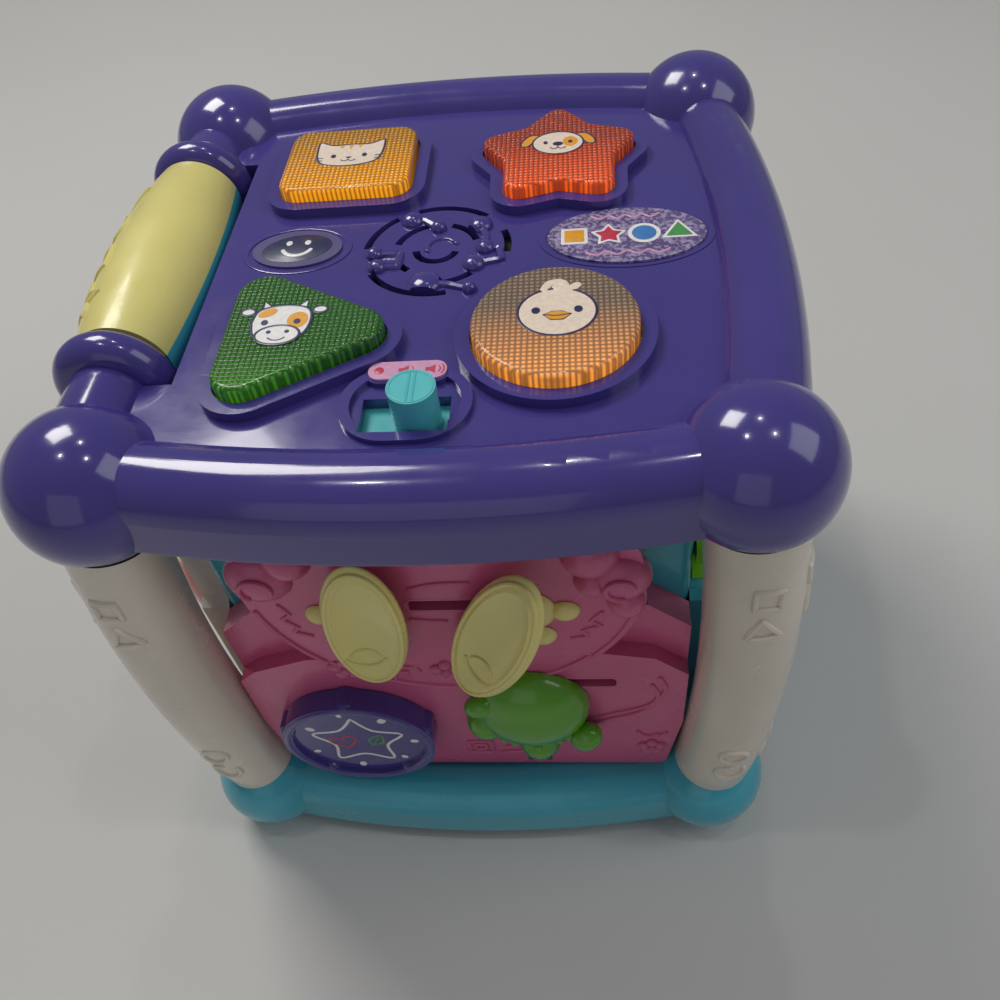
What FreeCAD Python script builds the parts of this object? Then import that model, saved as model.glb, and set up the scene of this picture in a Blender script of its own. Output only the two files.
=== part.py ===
import FreeCAD, Part
import math
import os
import re

import Sketcher
from FreeCAD import Placement, Rotation, Vector

# Children's activity cube. Millimetres, +Z up, the origin under the middle of the base at the
# level of its feet. The front (dial, turtle and wings) faces -Y and the roller handle is at -X.

SIZES = [
    # alias, value, what it is
    ("ball_radius", 16, "corner ball"),
    ("ball_span", 63, "corner ball centre, from the middle along X and Y"),
    ("top_ball_level", 144, "centre of the top balls"),
    ("base_ball_level", 15.5, "centre of the base balls"),
    ("wall", 2.2, "moulded wall of every housing"),
    ("gap", 0.3, "clearance between pieces that don't touch"),
    ("snug", 0.1, "clearance of a piece that is pushed home"),
    ("running", 0.06, "radial clearance of a turning fit"),
    ("rail_half", 9, "half the width of a rail"),
    ("rail_bow", 6.6, "how far a rail bows out between its balls"),
    ("rail_top_round", 8.8, "rounding of a rail's crest"),
    ("rail_foot_round", 3, "rounding of a rail's underside"),
    ("rail_crest", 154.5, "top of the upper rails"),
    ("rail_foot", 134.5, "underside of the upper rails"),
    ("parting", 137, "joint between top shell and trim"),
    ("trim_step", 0.35, "how far the trim is set in from the top shell"),
    ("deck_level", 150, "top face of the deck"),
    ("deck_half", 66, "how far the deck runs under the rails"),
    ("deck_left", 50, "deck edge beside the roller"),
    ("hollow_half", 52, "half the hollow under the deck"),
    ("base_crest", 25, "top of the base rails"),
    ("base_foot", 4.5, "underside of the base rails"),
    ("base_deck", 20.5, "floor that the core stands on"),
    ("foot_stand", 0.3, "how far a foot stands out of its ball"),
    ("foot_radius", 2.6, "foot pad"),
    ("foot_depth", 1.6, "foot pad thickness"),
    ("post_radius", 10.3, "corner post"),
    ("post_bow", 3.7, "how far a post bows out along X and along Y"),
    ("spigot_radius", 4.5, "post end inside a ball"),
    ("spigot_reach", 8, "spigot end, from the ball's centre"),
    ("roller_x", 64.7, "roller axis, from the middle"),
    ("roller_level", 146.8, "height of the roller axis"),
    ("roller_half", 32, "half the roller's length"),
    ("roller_mid", 13, "roller radius at its middle"),
    ("roller_end", 10.7, "roller radius at its ends"),
    ("roller_split", 15, "tilt of the joint between the roller's halves, degrees"),
    ("axle_radius", 2, "roller axle"),
    ("collar_span", 37, "collar centre along Y"),
    ("collar_major", 8.5, "collar's middle circle"),
    ("collar_minor", 4.4, "collar's rounding"),
    ("neck_radius", 8.5, "neck between collar and ball"),
    ("cradle_radius", 14.6, "trough behind the roller"),
    ("cradle_foot", 129.5, "lowest edge of the trough"),
    ("cradle_half", 41.6, "half the trough's length"),
    ("lens_top", 155.4, "top of the button lenses"),
    ("lens_round", 1.2, "rounding of a lens's top edge"),
    ("lens_wall", 1.8, "lens wall"),
    ("flange_top", 147.3, "top of the flange that keeps a lens in"),
    ("flange_foot", 145.7, "underside of that flange"),
    ("flange_out", 1.3, "how far the flange reaches past the lens"),
    ("lens_gap", 0.4, "clearance round a lens in the deck"),
    ("rim_out", 3.4, "how far a rim reaches past its lens"),
    ("rim_level", 152.4, "top of the raised rims"),
    ("square_x", -24, "square button"),
    ("square_y", 33, ""),
    ("square_half_x", 16, ""),
    ("square_half_y", 14, ""),
    ("square_round", 5, ""),
    ("star_x", 27.5, "star button"),
    ("star_y", 31, ""),
    ("star_tip", 21.4, "sharp tip radius before rounding"),
    ("star_valley", 13.6, "valley radius"),
    ("star_tip_round", 3.6, ""),
    ("star_turn", 90, "direction of one tip, degrees"),
    ("circle_x", 27, "circle button"),
    ("circle_y", -32.5, ""),
    ("circle_radius", 16.8, ""),
    ("triangle_x", -27.3, "triangle button"),
    ("triangle_y", -31.8, ""),
    ("triangle_tip", 26, "sharp corner radius before rounding"),
    ("triangle_round", 6, ""),
    ("grille_outer", 16.2, "outer sound slot"),
    ("grille_inner", 9.4, "inner sound slot"),
    ("grille_core", 4.6, "middle sound slot"),
    ("grille_low", 12.6, "short sound slot at the front"),
    ("grille_slot", 1.7, "width of a sound slot"),
    ("note_rise", 1.9, "height of the raised note heads"),
    ("slot_left", -10, "switch slot"),
    ("slot_right", 7.2, ""),
    ("slot_half", 5, ""),
    ("switch_x", 1, "switch knob at rest"),
    ("switch_y", -53.2, ""),
    ("knob_radius", 4.65, ""),
    ("knob_top", 157.6, ""),
    ("slider_half_x", 12.6, "plate under the switch slot"),
    ("slider_half_y", 5.9, ""),
    ("slider_top", 147.4, ""),
    ("slider_foot", 145.2, ""),
    ("ring_x", -1.5, "raised ring round the switch"),
    ("ring_y", -50.3, ""),
    ("ring_half_x", 13, ""),
    ("ring_half_y", 10.2, ""),
    ("ring_width", 2.2, ""),
    ("ring_proud", 1.2, ""),
    ("label_x", 42.5, "oval name plate"),
    ("label_y", 1.2, ""),
    ("label_half_x", 17.5, ""),
    ("label_half_y", 10.2, ""),
    ("badge_x", -32.6, "small oval badge"),
    ("badge_y", 2.5, ""),
    ("badge_half_x", 10.5, ""),
    ("badge_half_y", 7, ""),
    ("pill_x", -1.8, "volume label"),
    ("pill_y", -42, ""),
    ("pill_half_x", 7.8, ""),
    ("pill_half_y", 2.5, ""),
    ("plate_proud", 0.5, "how far the plates stand off the deck"),
    ("board_level", 140.5, "underside of the circuit board"),
    ("board_depth", 1.6, ""),
    ("board_half", 50, ""),
    ("board_left", 46, ""),
    ("tray_level", 134.1, "underside of the plate that closes the housing"),
    ("tray_depth", 2, ""),
    ("tray_half", 54.5, ""),
    ("speaker_radius", 17.6, ""),
    ("core_half", 55.2, "half the width of the core"),
    ("core_top", 134.1, ""),
    ("core_top_left", 129.2, "core's left wall, under the roller trough"),
    ("panel_back", 59.2, "inner face of a side panel's skin"),
    ("panel_front", 62, "outer face of a side panel's skin"),
    ("panel_foot", 25.4, ""),
    ("panel_half_foot", 51.5, ""),
    ("panel_half", 55, ""),
    ("panel_waist", 50, "where a side panel reaches its full width"),
    ("panel_shoulder", 89, ""),
    ("panel_top", 98, ""),
    ("panel_half_top", 45, ""),
    ("hill_front", 66, "front of the hill relief"),
    ("disc_x", 0.5, "big disc of the front"),
    ("disc_level", 112, ""),
    ("disc_radius", 43.5, ""),
    ("disc_front", 66.6, ""),
    ("disc_cut", 133.8, "level where the trim cuts the disc off"),
    ("wing_slot_level", 106, "slot that the right wing slides in"),
    ("wing_slot_left", -6.8, ""),
    ("wing_slot_right", 16, ""),
    ("slot_height", 3.6, ""),
    ("wing_x", 10.5, "wing hinge, from the middle"),
    ("wing_level", 106, ""),
    ("wing_hinge_out", 69.6, "hinge axis, from the middle of the cube"),
    ("wing_hinge_in", 5, "hinge axis, from the middle of a wing"),
    ("wing_hinge_back", 2.7, "hinge axis, behind the middle of a wing"),
    ("wing_half_x", 9, ""),
    ("wing_half_z", 22.5, ""),
    ("wing_half_y", 2.6, ""),
    ("left_wing_lean", 4, "lean of a wing in its plane, degrees"),
    ("right_wing_lean", 24, ""),
    ("wing_turn", 40, "how far the right wing is turned at rest, degrees"),
    ("wing_barrel", 1.9, "hinge barrel of a wing"),
    ("wing_rim", 1.6, "width of a wing's rim"),
    ("wing_dish", 0.15, "how much shallower the dish is than the wing"),
    ("wing_cheek", 0.8, "room beside a wing's knuckle"),
    ("washer_radius", 4.5, "washer that holds a post behind its slot"),
    ("washer_depth", 1.6, ""),
    ("pin_cap_rim", 3, "how far a pin's cap stands out"),
    ("door_sheet", 1.6, "thickness of the battery door"),
    ("door_screw_in", 5, "battery door's screw, from the door's edge"),
    ("bug_radius", 7.5, "domed body behind a wing"),
    ("bug_rise", 3, ""),
    ("bug_sink", 0.5, "how far a domed body's widest circle is cut away"),
    ("bug_in", 7.3, "middle of a domed body, from its hinge"),
    ("bug_drop", 2.4, ""),
    ("bug_foot", 3.4, "round foot of a domed body"),
    ("wing_pin_radius", 1, ""),
    ("wing_pin_half", 8, ""),
    ("wing_post_radius", 1.6, ""),
    ("turtle_x", 17, "turtle"),
    ("turtle_level", 58, ""),
    ("turtle_half_x", 14.5, ""),
    ("turtle_half_z", 15.5, ""),
    ("turtle_depth", 9, ""),
    ("turtle_slot_level", 70.5, ""),
    ("turtle_slot_right", 38, ""),
    ("turtle_slot_left", 13.5, ""),
    ("turtle_pin_radius", 1.4, ""),
    ("dial_x", -29, "dial"),
    ("dial_level", 49, ""),
    ("dial_radius", 20, ""),
    ("dial_depth", 6, ""),
    ("dial_lug_radius", 3, ""),
    ("dial_rim", 2.6, ""),
    ("dial_dish", 1.2, ""),
    ("shaft_radius", 3, "dial shaft"),
    ("gear_tip", 26, "large gear"),
    ("gear_y", -28.5, ""),
    ("gear_level", 104.5, ""),
    ("gear_depth", 5, ""),
    ("gear_teeth", 12, ""),
    ("gear_root_drop", 4.4, "tooth depth"),
    ("gear_tooth_half", 3, "half a tooth at its tip"),
    ("small_teeth", 8, ""),
    ("gear_back", 55.8, "inner face of the gears"),
    ("gear_room", 2, "room round a gear in the side panel"),
    ("gear_pin_radius", 2.5, ""),
    ("spinner_x", 60.5, "spinner axis on the left side"),
    ("spinner_y", -37, ""),
    ("spinner_foot", 54, ""),
    ("spinner_waist", 66, ""),
    ("spinner_neck", 98, ""),
    ("spinner_top", 106, ""),
    ("spinner_mid", 12.5, ""),
    ("spinner_end", 9, ""),
    ("spinner_pin_radius", 1.6, ""),
    ("bay_room", 1.5, "room round the spinner in its bay"),
    ("bay_wall", 1.6, ""),
    ("cover_level", 4.8, "underside cover"),
    ("cover_depth", 2.4, ""),
    ("door_half_x", 27, "battery door"),
    ("door_half_y", 16, ""),
    ("cell_radius", 5.25, "AAA cell"),
    ("cell_length", 44.5, ""),
    ("cell_spacing", 12, ""),
    ("screw_radius", 1.5, ""),
    ("screw_head", 2.9, ""),
]
ALIASES = {alias for alias, _, _ in SIZES}
WORD = re.compile(r"[a-z][a-z_]*")
UPRIGHT = Rotation()
ALONG = {
    "x": Rotation(Vector(0, 1, 0), 90),
    "y": Rotation(Vector(1, 0, 0), -90),
    "z": UPRIGHT,
}
# Sides of the cube: how far each is turned from the front, and where (across, out) point.
FACES = {"front": 0, "right": 90, "rear": 180, "left": 270}
RAIL_ARC = "((ball_span^2 + rail_bow^2) / (2 * rail_bow))"
RAIL_SWEEP = f"(2 * asin(ball_span / {RAIL_ARC}))"
SMALL_TIP = "(gear_tip * small_teeth / gear_teeth + gear_root_drop * 0.2)"
GEAR_REACH = f"(gear_tip + {SMALL_TIP} - gear_root_drop + 0.6)"
GEAR_BEARING = 45
GEAR_SPOTS = (
    ("gear_y", "gear_level"),
    (f"gear_y + {GEAR_REACH} * cos({GEAR_BEARING})", f"gear_level - {GEAR_REACH} * sin({GEAR_BEARING})"),
)
POST_RISE = "((top_ball_level - base_ball_level) / 2)"
POST_SAG = "(post_bow * sqrt(2))"
POST_ARC = f"(({POST_RISE}^2 + {POST_SAG}^2) / (2 * {POST_SAG}))"

doc = FreeCAD.newDocument("ActivityCube")
sheet = doc.addObject("Spreadsheet::Sheet", "Sizes")
nodes = {}


def fill_sheet():
    """Write every driving dimension to the sheet."""
    for row, (alias, number, note) in enumerate(SIZES, 1):
        sheet.set(f"A{row}", alias)
        sheet.set(f"B{row}", str(number))
        sheet.set(f"C{row}", note)
        sheet.setAlias(f"B{row}", alias)
    doc.recompute()


def size(alias):
    """A sheet value, for the shapes that Part's own functions make."""
    return float(sheet.get(alias))


def sheet_text(text):
    """The same expression with each alias read from the sheet."""
    return WORD.sub(lambda word: f"Sizes.{word[0]}" if word[0] in ALIASES else word[0], str(text))


def bind(obj, prop, text):
    obj.setExpression(prop, sheet_text(text))


def place(obj, spot, turn=UPRIGHT):
    """Put an object at three sheet expressions."""
    obj.Placement = Placement(Vector(), turn)
    for axis, text in zip("xyz", spot):
        bind(obj, f"Placement.Base.{axis}", text)
    return obj


def face_spot(face, across, out, up):
    """Sheet expressions of a point given as seen when looking at one side."""
    return {
        "front": (across, f"-({out})", up),
        "right": (out, across, up),
        "rear": (f"-({across})", out, up),
        "left": (f"-({out})", f"-({across})", up),
    }[face]


def face_turn(face, spin=0):
    """Turn local +Z to the side's outward normal and local +Y upwards."""
    outward = Rotation(Vector(0, 0, 1), FACES[face]) * Rotation(Vector(1, 0, 0), 90)
    return outward * Rotation(Vector(0, 0, 1), spin)


def block(name, low, high):
    box = doc.addObject("Part::Box", name)
    for prop, start, end in zip(("Length", "Width", "Height"), low, high):
        bind(box, prop, f"({end}) - ({start})")
    return place(box, low)


def rod(name, radius, start, length, along="z", turn=None):
    cylinder = doc.addObject("Part::Cylinder", name)
    bind(cylinder, "Radius", radius)
    bind(cylinder, "Height", length)
    return place(cylinder, start, turn or ALONG[along])


def ball(name, radius, centre):
    sphere = doc.addObject("Part::Sphere", name)
    bind(sphere, "Radius", radius)
    return place(sphere, centre)


def egg(name, halves, centre, turn=UPRIGHT):
    """Ellipsoid with the given half sizes along its own X, Y and Z."""
    ellipsoid = doc.addObject("Part::Ellipsoid", name)
    for prop, text in zip(("Radius2", "Radius3", "Radius1"), halves):
        bind(ellipsoid, prop, text)
    return place(ellipsoid, centre, turn)


def ring(name, major, minor, centre, turn=UPRIGHT):
    torus = doc.addObject("Part::Torus", name)
    bind(torus, "Radius1", major)
    bind(torus, "Radius2", minor)
    return place(torus, centre, turn)


def fuse(name, *pieces):
    joined = doc.addObject("Part::MultiFuse", name)
    joined.Shapes = list(pieces)
    joined.Refine = True
    return joined


def cut(name, base, *tools):
    removed = doc.addObject("Part::Cut", name)
    removed.Base = base
    removed.Tool = tools[0] if len(tools) == 1 else fuse(f"{name}_tools", *tools)
    removed.Refine = True
    return removed


def common(name, base, tool):
    shared = doc.addObject("Part::Common", name)
    shared.Base = base
    shared.Tool = tool
    return shared


def node(obj, label):
    """Name a finished sub-part."""
    obj.Label = label
    nodes[label] = obj
    return obj


def new_sketch(part, name, role, level="0"):
    """Sketch on one of the body's own origin planes, raised by `level`."""
    sketch = part.newObject("Sketcher::SketchObject", name)
    plane = next(item for item in part.Origin.OriginFeatures if item.Role == role)
    sketch.AttachmentSupport = [(plane, "")]
    sketch.MapMode = "FlatFace"
    bind(sketch, "AttachmentOffset.Base.z", level)
    return sketch


def pin_point(sketch, edge, end, spot):
    """Tie a sketch point to a pair of sheet expressions."""
    for kind, text in zip(("DistanceX", "DistanceY"), spot):
        index = sketch.addConstraint(Sketcher.Constraint(kind, -1, 1, edge, end, 1.0))
        bind(sketch, f"Constraints[{index}]", text)


def draw_polygon(sketch, corners):
    """Closed outline whose corners sit at sheet expressions."""
    count = len(corners)
    first = sketch.GeometryCount
    ring_points = [
        Vector(math.cos(math.tau * step / count), math.sin(math.tau * step / count), 0)
        for step in range(count)
    ]
    for step in range(count):
        sketch.addGeometry(Part.LineSegment(ring_points[step], ring_points[(step + 1) % count]))
    for step in range(count):
        following = first + (step + 1) % count
        sketch.addConstraint(Sketcher.Constraint("Coincident", first + step, 2, following, 1))
    for step, corner in enumerate(corners):
        pin_point(sketch, first + step, 1, corner)


def draw_circle(sketch, radius, centre=("0", "0")):
    edge = sketch.addGeometry(Part.Circle(Vector(), Vector(0, 0, 1), 1))
    index = sketch.addConstraint(Sketcher.Constraint("Radius", edge, 1.0))
    bind(sketch, f"Constraints[{index}]", radius)
    pin_point(sketch, edge, 3, centre)


def is_upright(edge):
    start, end = edge.Vertexes[0].Point, edge.Vertexes[-1].Point
    return math.hypot(start.x - end.x, start.y - end.y) < 1e-6 and abs(start.z - end.z) > 1e-6


def at_level(level):
    """Pick the edges that lie in one plane across the body's Z."""
    return lambda edge: all(abs(spot.z - level) < 1e-6 for spot in edge.discretize(4))


def round_edges(part, name, radius, chosen):
    """Fillet the edges of the body that `chosen` picks."""
    doc.recompute()
    tip = part.Tip
    picked = [f"Edge{index}" for index, edge in enumerate(tip.Shape.Edges, 1) if chosen(edge)]
    fillet = part.newObject("PartDesign::Fillet", name)
    fillet.Base = (tip, picked)
    bind(fillet, "Radius", radius)
    return fillet


def prism(name, corners, foot, top, rounding=None, chosen=is_upright):
    """Upright body on a polygon, its corners rounded if a radius is given."""
    part = doc.addObject("PartDesign::Body", name)
    sketch = new_sketch(part, f"{name}_outline", "XY_Plane", foot)
    draw_polygon(sketch, corners)
    pad = part.newObject("PartDesign::Pad", f"{name}_pad")
    pad.Profile = sketch
    bind(pad, "Length", f"({top}) - ({foot})")
    if rounding:
        round_edges(part, f"{name}_corners", rounding, chosen)
    return part


def rectangle(half_x, half_y, x="0", y="0"):
    return [
        (f"{x} + ({sx}) * ({half_x})", f"{y} + ({sy}) * ({half_y})")
        for sx, sy in ((-1, -1), (1, -1), (1, 1), (-1, 1))
    ]


def turned(name, profile, foot="0"):
    """Body of revolution about its own Z, from a profile of (radius, level) corners."""
    part = doc.addObject("PartDesign::Body", name)
    sketch = new_sketch(part, f"{name}_profile", "XZ_Plane")
    draw_polygon(sketch, [(radius, f"({foot}) + ({level})") for radius, level in profile])
    spin = part.newObject("PartDesign::Revolution", f"{name}_turn")
    spin.Profile = sketch
    spin.ReferenceAxis = (sketch, ["V_Axis"])
    spin.Angle = 360
    return part


def barrel(name, half, middle, end, bore, centre, along="z"):
    """Bulging roller with flat ends: the middle of a long ellipsoid, with a bore."""
    length = f"({half}) / sqrt(1 - (({end}) / ({middle}))^2)"
    bulge = egg(f"{name}_bulge", (middle, middle, length), centre, ALONG[along])
    start = list(centre)
    index = "xyz".index(along)
    start[index] = f"{centre[index]} - ({half})"
    trunk = rod(f"{name}_trunk", f"({middle}) + 1", start, f"2 * ({half})", along)
    start[index] = f"{centre[index]} - ({half}) - 1"
    hole = rod(f"{name}_hole", bore, start, f"2 * ({half}) + 2", along)
    return cut(name, common(f"{name}_blank", bulge, trunk), hole)


# ---------------------------------------------------------------- rails, balls and posts


def rail(name, face, crest, foot, inset="0"):
    """One bowed rail between two balls, set in all round by `inset`."""
    part = doc.addObject("PartDesign::Body", name)
    sketch = new_sketch(part, f"{name}_section", "XZ_Plane")
    half = f"(rail_half - ({inset}))"
    low, high = f"({foot}) + ({inset})", f"({crest}) - ({inset})"
    near, far = f"{RAIL_ARC} - {half}", f"{RAIL_ARC} + {half}"
    draw_polygon(sketch, [(near, low), (far, low), (far, high), (near, high)])
    sweep = part.newObject("PartDesign::Revolution", f"{name}_sweep")
    sweep.Profile = sketch
    sweep.ReferenceAxis = (sketch, ["V_Axis"])
    sweep.Midplane = True
    bind(sweep, "Angle", RAIL_SWEEP)
    doc.recompute()
    top = sweep.Shape.BoundBox.ZMax
    bottom = sweep.Shape.BoundBox.ZMin

    def along(level):
        return lambda edge: isinstance(edge.Curve, Part.Circle) and at_level(level)(edge)

    round_edges(part, f"{name}_crest", f"rail_top_round - ({inset})", along(top))
    round_edges(part, f"{name}_underside", f"rail_foot_round - ({inset})", along(bottom))
    reach = f"(ball_span + rail_bow - {RAIL_ARC})"
    turn = Rotation(Vector(0, 0, 1), FACES[face] - 90)
    return place(part, face_spot(face, "0", reach, "0"), turn)


CORNERS = {
    "front_left": (-1, -1),
    "front_right": (1, -1),
    "rear_left": (-1, 1),
    "rear_right": (1, 1),
}


def corner_balls(name, level, radius):
    return [
        ball(f"{name}_{corner}", radius, (f"{sx} * ball_span", f"{sy} * ball_span", level))
        for corner, (sx, sy) in CORNERS.items()
    ]


def ball_room(name):
    """Space that the corner balls need, with clearance, to cut from what stands between them."""
    spheres = [
        sphere
        for which in ("base", "top")
        for sphere in corner_balls(f"{name}_{which}", f"{which}_ball_level", "ball_radius + gap")
    ]
    return fuse(name, *spheres)


def spigot_holes(name, foot, top):
    return [
        rod(
            f"{name}_{corner}",
            "spigot_radius + snug",
            (f"{sx} * ball_span", f"{sy} * ball_span", foot),
            f"({top}) - ({foot})",
        )
        for corner, (sx, sy) in CORNERS.items()
    ]


def make_posts():
    """Bowed posts whose ends meet the balls, each with a spigot that goes into them."""
    for corner, (sx, sy) in CORNERS.items():
        bow = doc.addObject("Part::Torus", f"{corner}_bow")
        bind(bow, "Radius1", POST_ARC)
        bind(bow, "Radius2", "post_radius")
        bind(bow, "Angle3", f"2 * asin({POST_RISE} / {POST_ARC})")
        # the bow's own sweep runs from its X towards its Y, so it is stood up and turned outwards
        outward = math.degrees(math.atan2(sy, sx))
        stand = Rotation(Vector(0, 0, 1), outward) * Rotation(Vector(1, 0, 0), 90)
        reach = f"(ball_span + post_bow - {POST_ARC} / sqrt(2))"
        middle = "(top_ball_level + base_ball_level) / 2"
        place(bow, (f"{sx} * {reach}", f"{sy} * {reach}", middle), stand)
        bow.Placement = Placement(bow.Placement.Base, stand * Rotation(Vector(0, 0, 1), post_start()))
        spot = (f"{sx} * ball_span", f"{sy} * ball_span", "base_ball_level + spigot_reach")
        spigot = rod(
            f"{corner}_spigot",
            "spigot_radius",
            spot,
            "top_ball_level - base_ball_level - 2 * spigot_reach",
        )
        centre = (f"{sx} * ball_span", f"{sy} * ball_span")
        low = ball(f"{corner}_base_seat", "ball_radius + snug", (*centre, "base_ball_level"))
        high = ball(f"{corner}_top_seat", "ball_radius + snug", (*centre, "top_ball_level"))
        shaft = cut(f"{corner}_shaft", bow, low, high)
        node(fuse(f"post_{corner}", shaft, spigot), f"post_{corner}")


def post_start():
    """Angle of a post's lower end, in degrees from the middle of its bow."""
    rise = (size("top_ball_level") - size("base_ball_level")) / 2
    sag = size("post_bow") * math.sqrt(2)
    return -math.degrees(math.asin(rise / ((rise**2 + sag**2) / (2 * sag))))


# ---------------------------------------------------------------- button outlines


def square_corners(out="0"):
    return rectangle(f"square_half_x + {out}", f"square_half_y + {out}", "square_x", "square_y")


def star_corners(out="0"):
    """Ten corners; moving every edge out by `out` scales both radii alike."""
    half_turn = "36"
    apothem = f"(star_tip * star_valley * sin({half_turn}) / sqrt(star_tip^2 + star_valley^2" \
              f" - 2 * star_tip * star_valley * cos({half_turn})))"
    grow = f"(1 + ({out}) / {apothem})"
    corners = []
    for step in range(10):
        radius = "star_valley" if step % 2 else "star_tip"
        angle = f"star_turn + {36 * step}"
        corners.append((
            f"star_x + {radius} * {grow} * cos({angle})",
            f"star_y + {radius} * {grow} * sin({angle})",
        ))
    return corners


def triangle_corners(out="0"):
    """Three corners, one pointing along +X."""
    radius = f"(triangle_tip + 2 * ({out}))"
    return [
        (f"triangle_x + {radius} * cos({angle})", f"triangle_y + {radius} * sin({angle})")
        for angle in (0, 120, 240)
    ]


def star_tips(edge):
    """Upright edges at the star's five tips."""
    spot = edge.Vertexes[0].Point
    reach = math.hypot(spot.x - size("star_x"), spot.y - size("star_y"))
    return is_upright(edge) and reach > (size("star_tip") + size("star_valley")) / 2


def button_prism(shape, name, out, foot, top):
    """Prism on a button's outline, moved out by `out`."""
    if shape == "circle":
        return rod(name, f"circle_radius + ({out})", ("circle_x", "circle_y", foot), f"({top}) - ({foot})")
    corners, rounding, chosen = {
        "square": (square_corners, "square_round", is_upright),
        "star": (star_corners, "star_tip_round", star_tips),
        "triangle": (triangle_corners, "triangle_round", is_upright),
    }[shape]
    return prism(name, corners(out), foot, top, f"{rounding} + ({out})", chosen)


BUTTONS = ("square", "star", "circle", "triangle")


def make_lenses():
    """Hollow clear caps, each with a flange that keeps it under the deck."""
    for shape in BUTTONS:
        cap = button_prism(shape, f"{shape}_cap", "0", "flange_foot", "lens_top")
        doc.recompute()
        top = size("lens_top")
        rounded = doc.addObject("Part::Fillet", f"{shape}_soft_cap")
        rounded.Base = cap
        rounded.Edges = [
            (index, size("lens_round"), size("lens_round"))
            for index, edge in enumerate(cap.Shape.Edges, 1)
            if at_level(top)(edge)
        ]
        flange = button_prism(shape, f"{shape}_flange", "flange_out", "flange_foot", "flange_top")
        inside = button_prism(shape, f"{shape}_inside", "-lens_wall", "flange_foot - 1", "lens_top - lens_wall")
        solid = fuse(f"{shape}_solid", rounded, flange)
        node(cut(f"lens_{shape}", solid, inside), f"lens_{shape}")


# ---------------------------------------------------------------- top housing


def deck_oval(name, item, foot, top):
    """Upright elliptic disc for a plate on the deck."""
    edge = doc.addObject("Part::Ellipse", f"{name}_outline")
    bind(edge, "MajorRadius", f"{item}_half_x")
    bind(edge, "MinorRadius", f"{item}_half_y")
    place(edge, (f"{item}_x", f"{item}_y", foot))
    disc = doc.addObject("Part::Extrusion", name)
    disc.Base = edge
    disc.DirMode = "Normal"
    disc.Solid = True
    bind(disc, "LengthFwd", f"({top}) - ({foot})")
    return disc


def racetrack(name, item, foot, top, out="0"):
    """Upright prism with fully rounded ends."""
    corners = rectangle(
        f"{item}_half_x + ({out})", f"{item}_half_y + ({out})", f"{item}_x", f"{item}_y"
    )
    return prism(name, corners, foot, top, f"({item}_half_y + ({out})) * 0.98")


# sound slots: ring and the directions that each slot runs between, degrees
SLOT_ARCS = (
    ("outer", 128, 175),
    ("outer", 48, 110),
    ("outer", -8, 22),
    ("outer", -150, -78),
    ("inner", 102, 165),
    ("inner", 18, 72),
    ("inner", -152, -128),
    ("low", -82, -48),
    ("core", -175, -15),
)
# raised note heads round the sound slots: X, Y and radius
NOTE_HEADS = (
    (-6.6, 11.6, 2.8),
    (-0.1, 7.9, 1.9),
    (9.6, 8.2, 2.9),
    (11.2, -0.8, 2.2),
    (-14, -1.2, 2.1),
    (-12.8, -6.1, 2.2),
    (-1.4, -12.5, 3.8),
    (8.9, -6.5, 2.6),
    (8.5, -15.4, 1.7),
)


def sound_slots():
    """Arc-shaped sound slots through the deck."""
    foot, depth = "deck_level - 2 * wall", "4 * wall"
    arcs = []
    for index, (which, start, end) in enumerate(SLOT_ARCS):
        sides = []
        for edge, side in (("wide", "+"), ("narrow", "-")):
            sector = rod(
                f"slot_{index}_{edge}",
                f"grille_{which} {side} grille_slot / 2",
                ("0", "0", foot),
                depth,
                turn=Rotation(Vector(0, 0, 1), start),
            )
            sector.Angle = end - start
            sides.append(sector)
        arcs.append(cut(f"slot_{index}", *sides))
    return fuse("sound_slots", *arcs)


def note_heads():
    return [
        egg(f"note_head_{index}", (f"{radius}", f"{radius}", "note_rise"), (f"{x}", f"{y}", "deck_level"))
        for index, (x, y, radius) in enumerate(NOTE_HEADS)
    ]


def collar(side):
    """Doughnut collar and neck that carry one end of the roller."""
    name = "front" if side < 0 else "rear"
    spot = ("-roller_x", f"{side} * collar_span", "roller_level")
    doughnut = ring(f"collar_{name}_ring", "collar_major", "collar_minor", spot, ALONG["y"])
    core = rod(
        f"collar_{name}_core",
        "collar_major",
        ("-roller_x", f"{side} * collar_span - collar_minor", "roller_level"),
        "2 * collar_minor",
        "y",
    )
    start = "collar_span" if side > 0 else "-ball_span"
    neck = rod(
        f"collar_{name}_neck",
        "neck_radius",
        ("-roller_x", start, "roller_level"),
        "ball_span - collar_span",
        "y",
    )
    return fuse(f"collar_{name}", doughnut, core, neck)


def rail_set(name, crest, foot, faces, inset="0"):
    return [rail(f"{name}_{face}", face, crest, foot, inset) for face in faces]


TOP_RAILS = ("front", "right", "rear")


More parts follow.
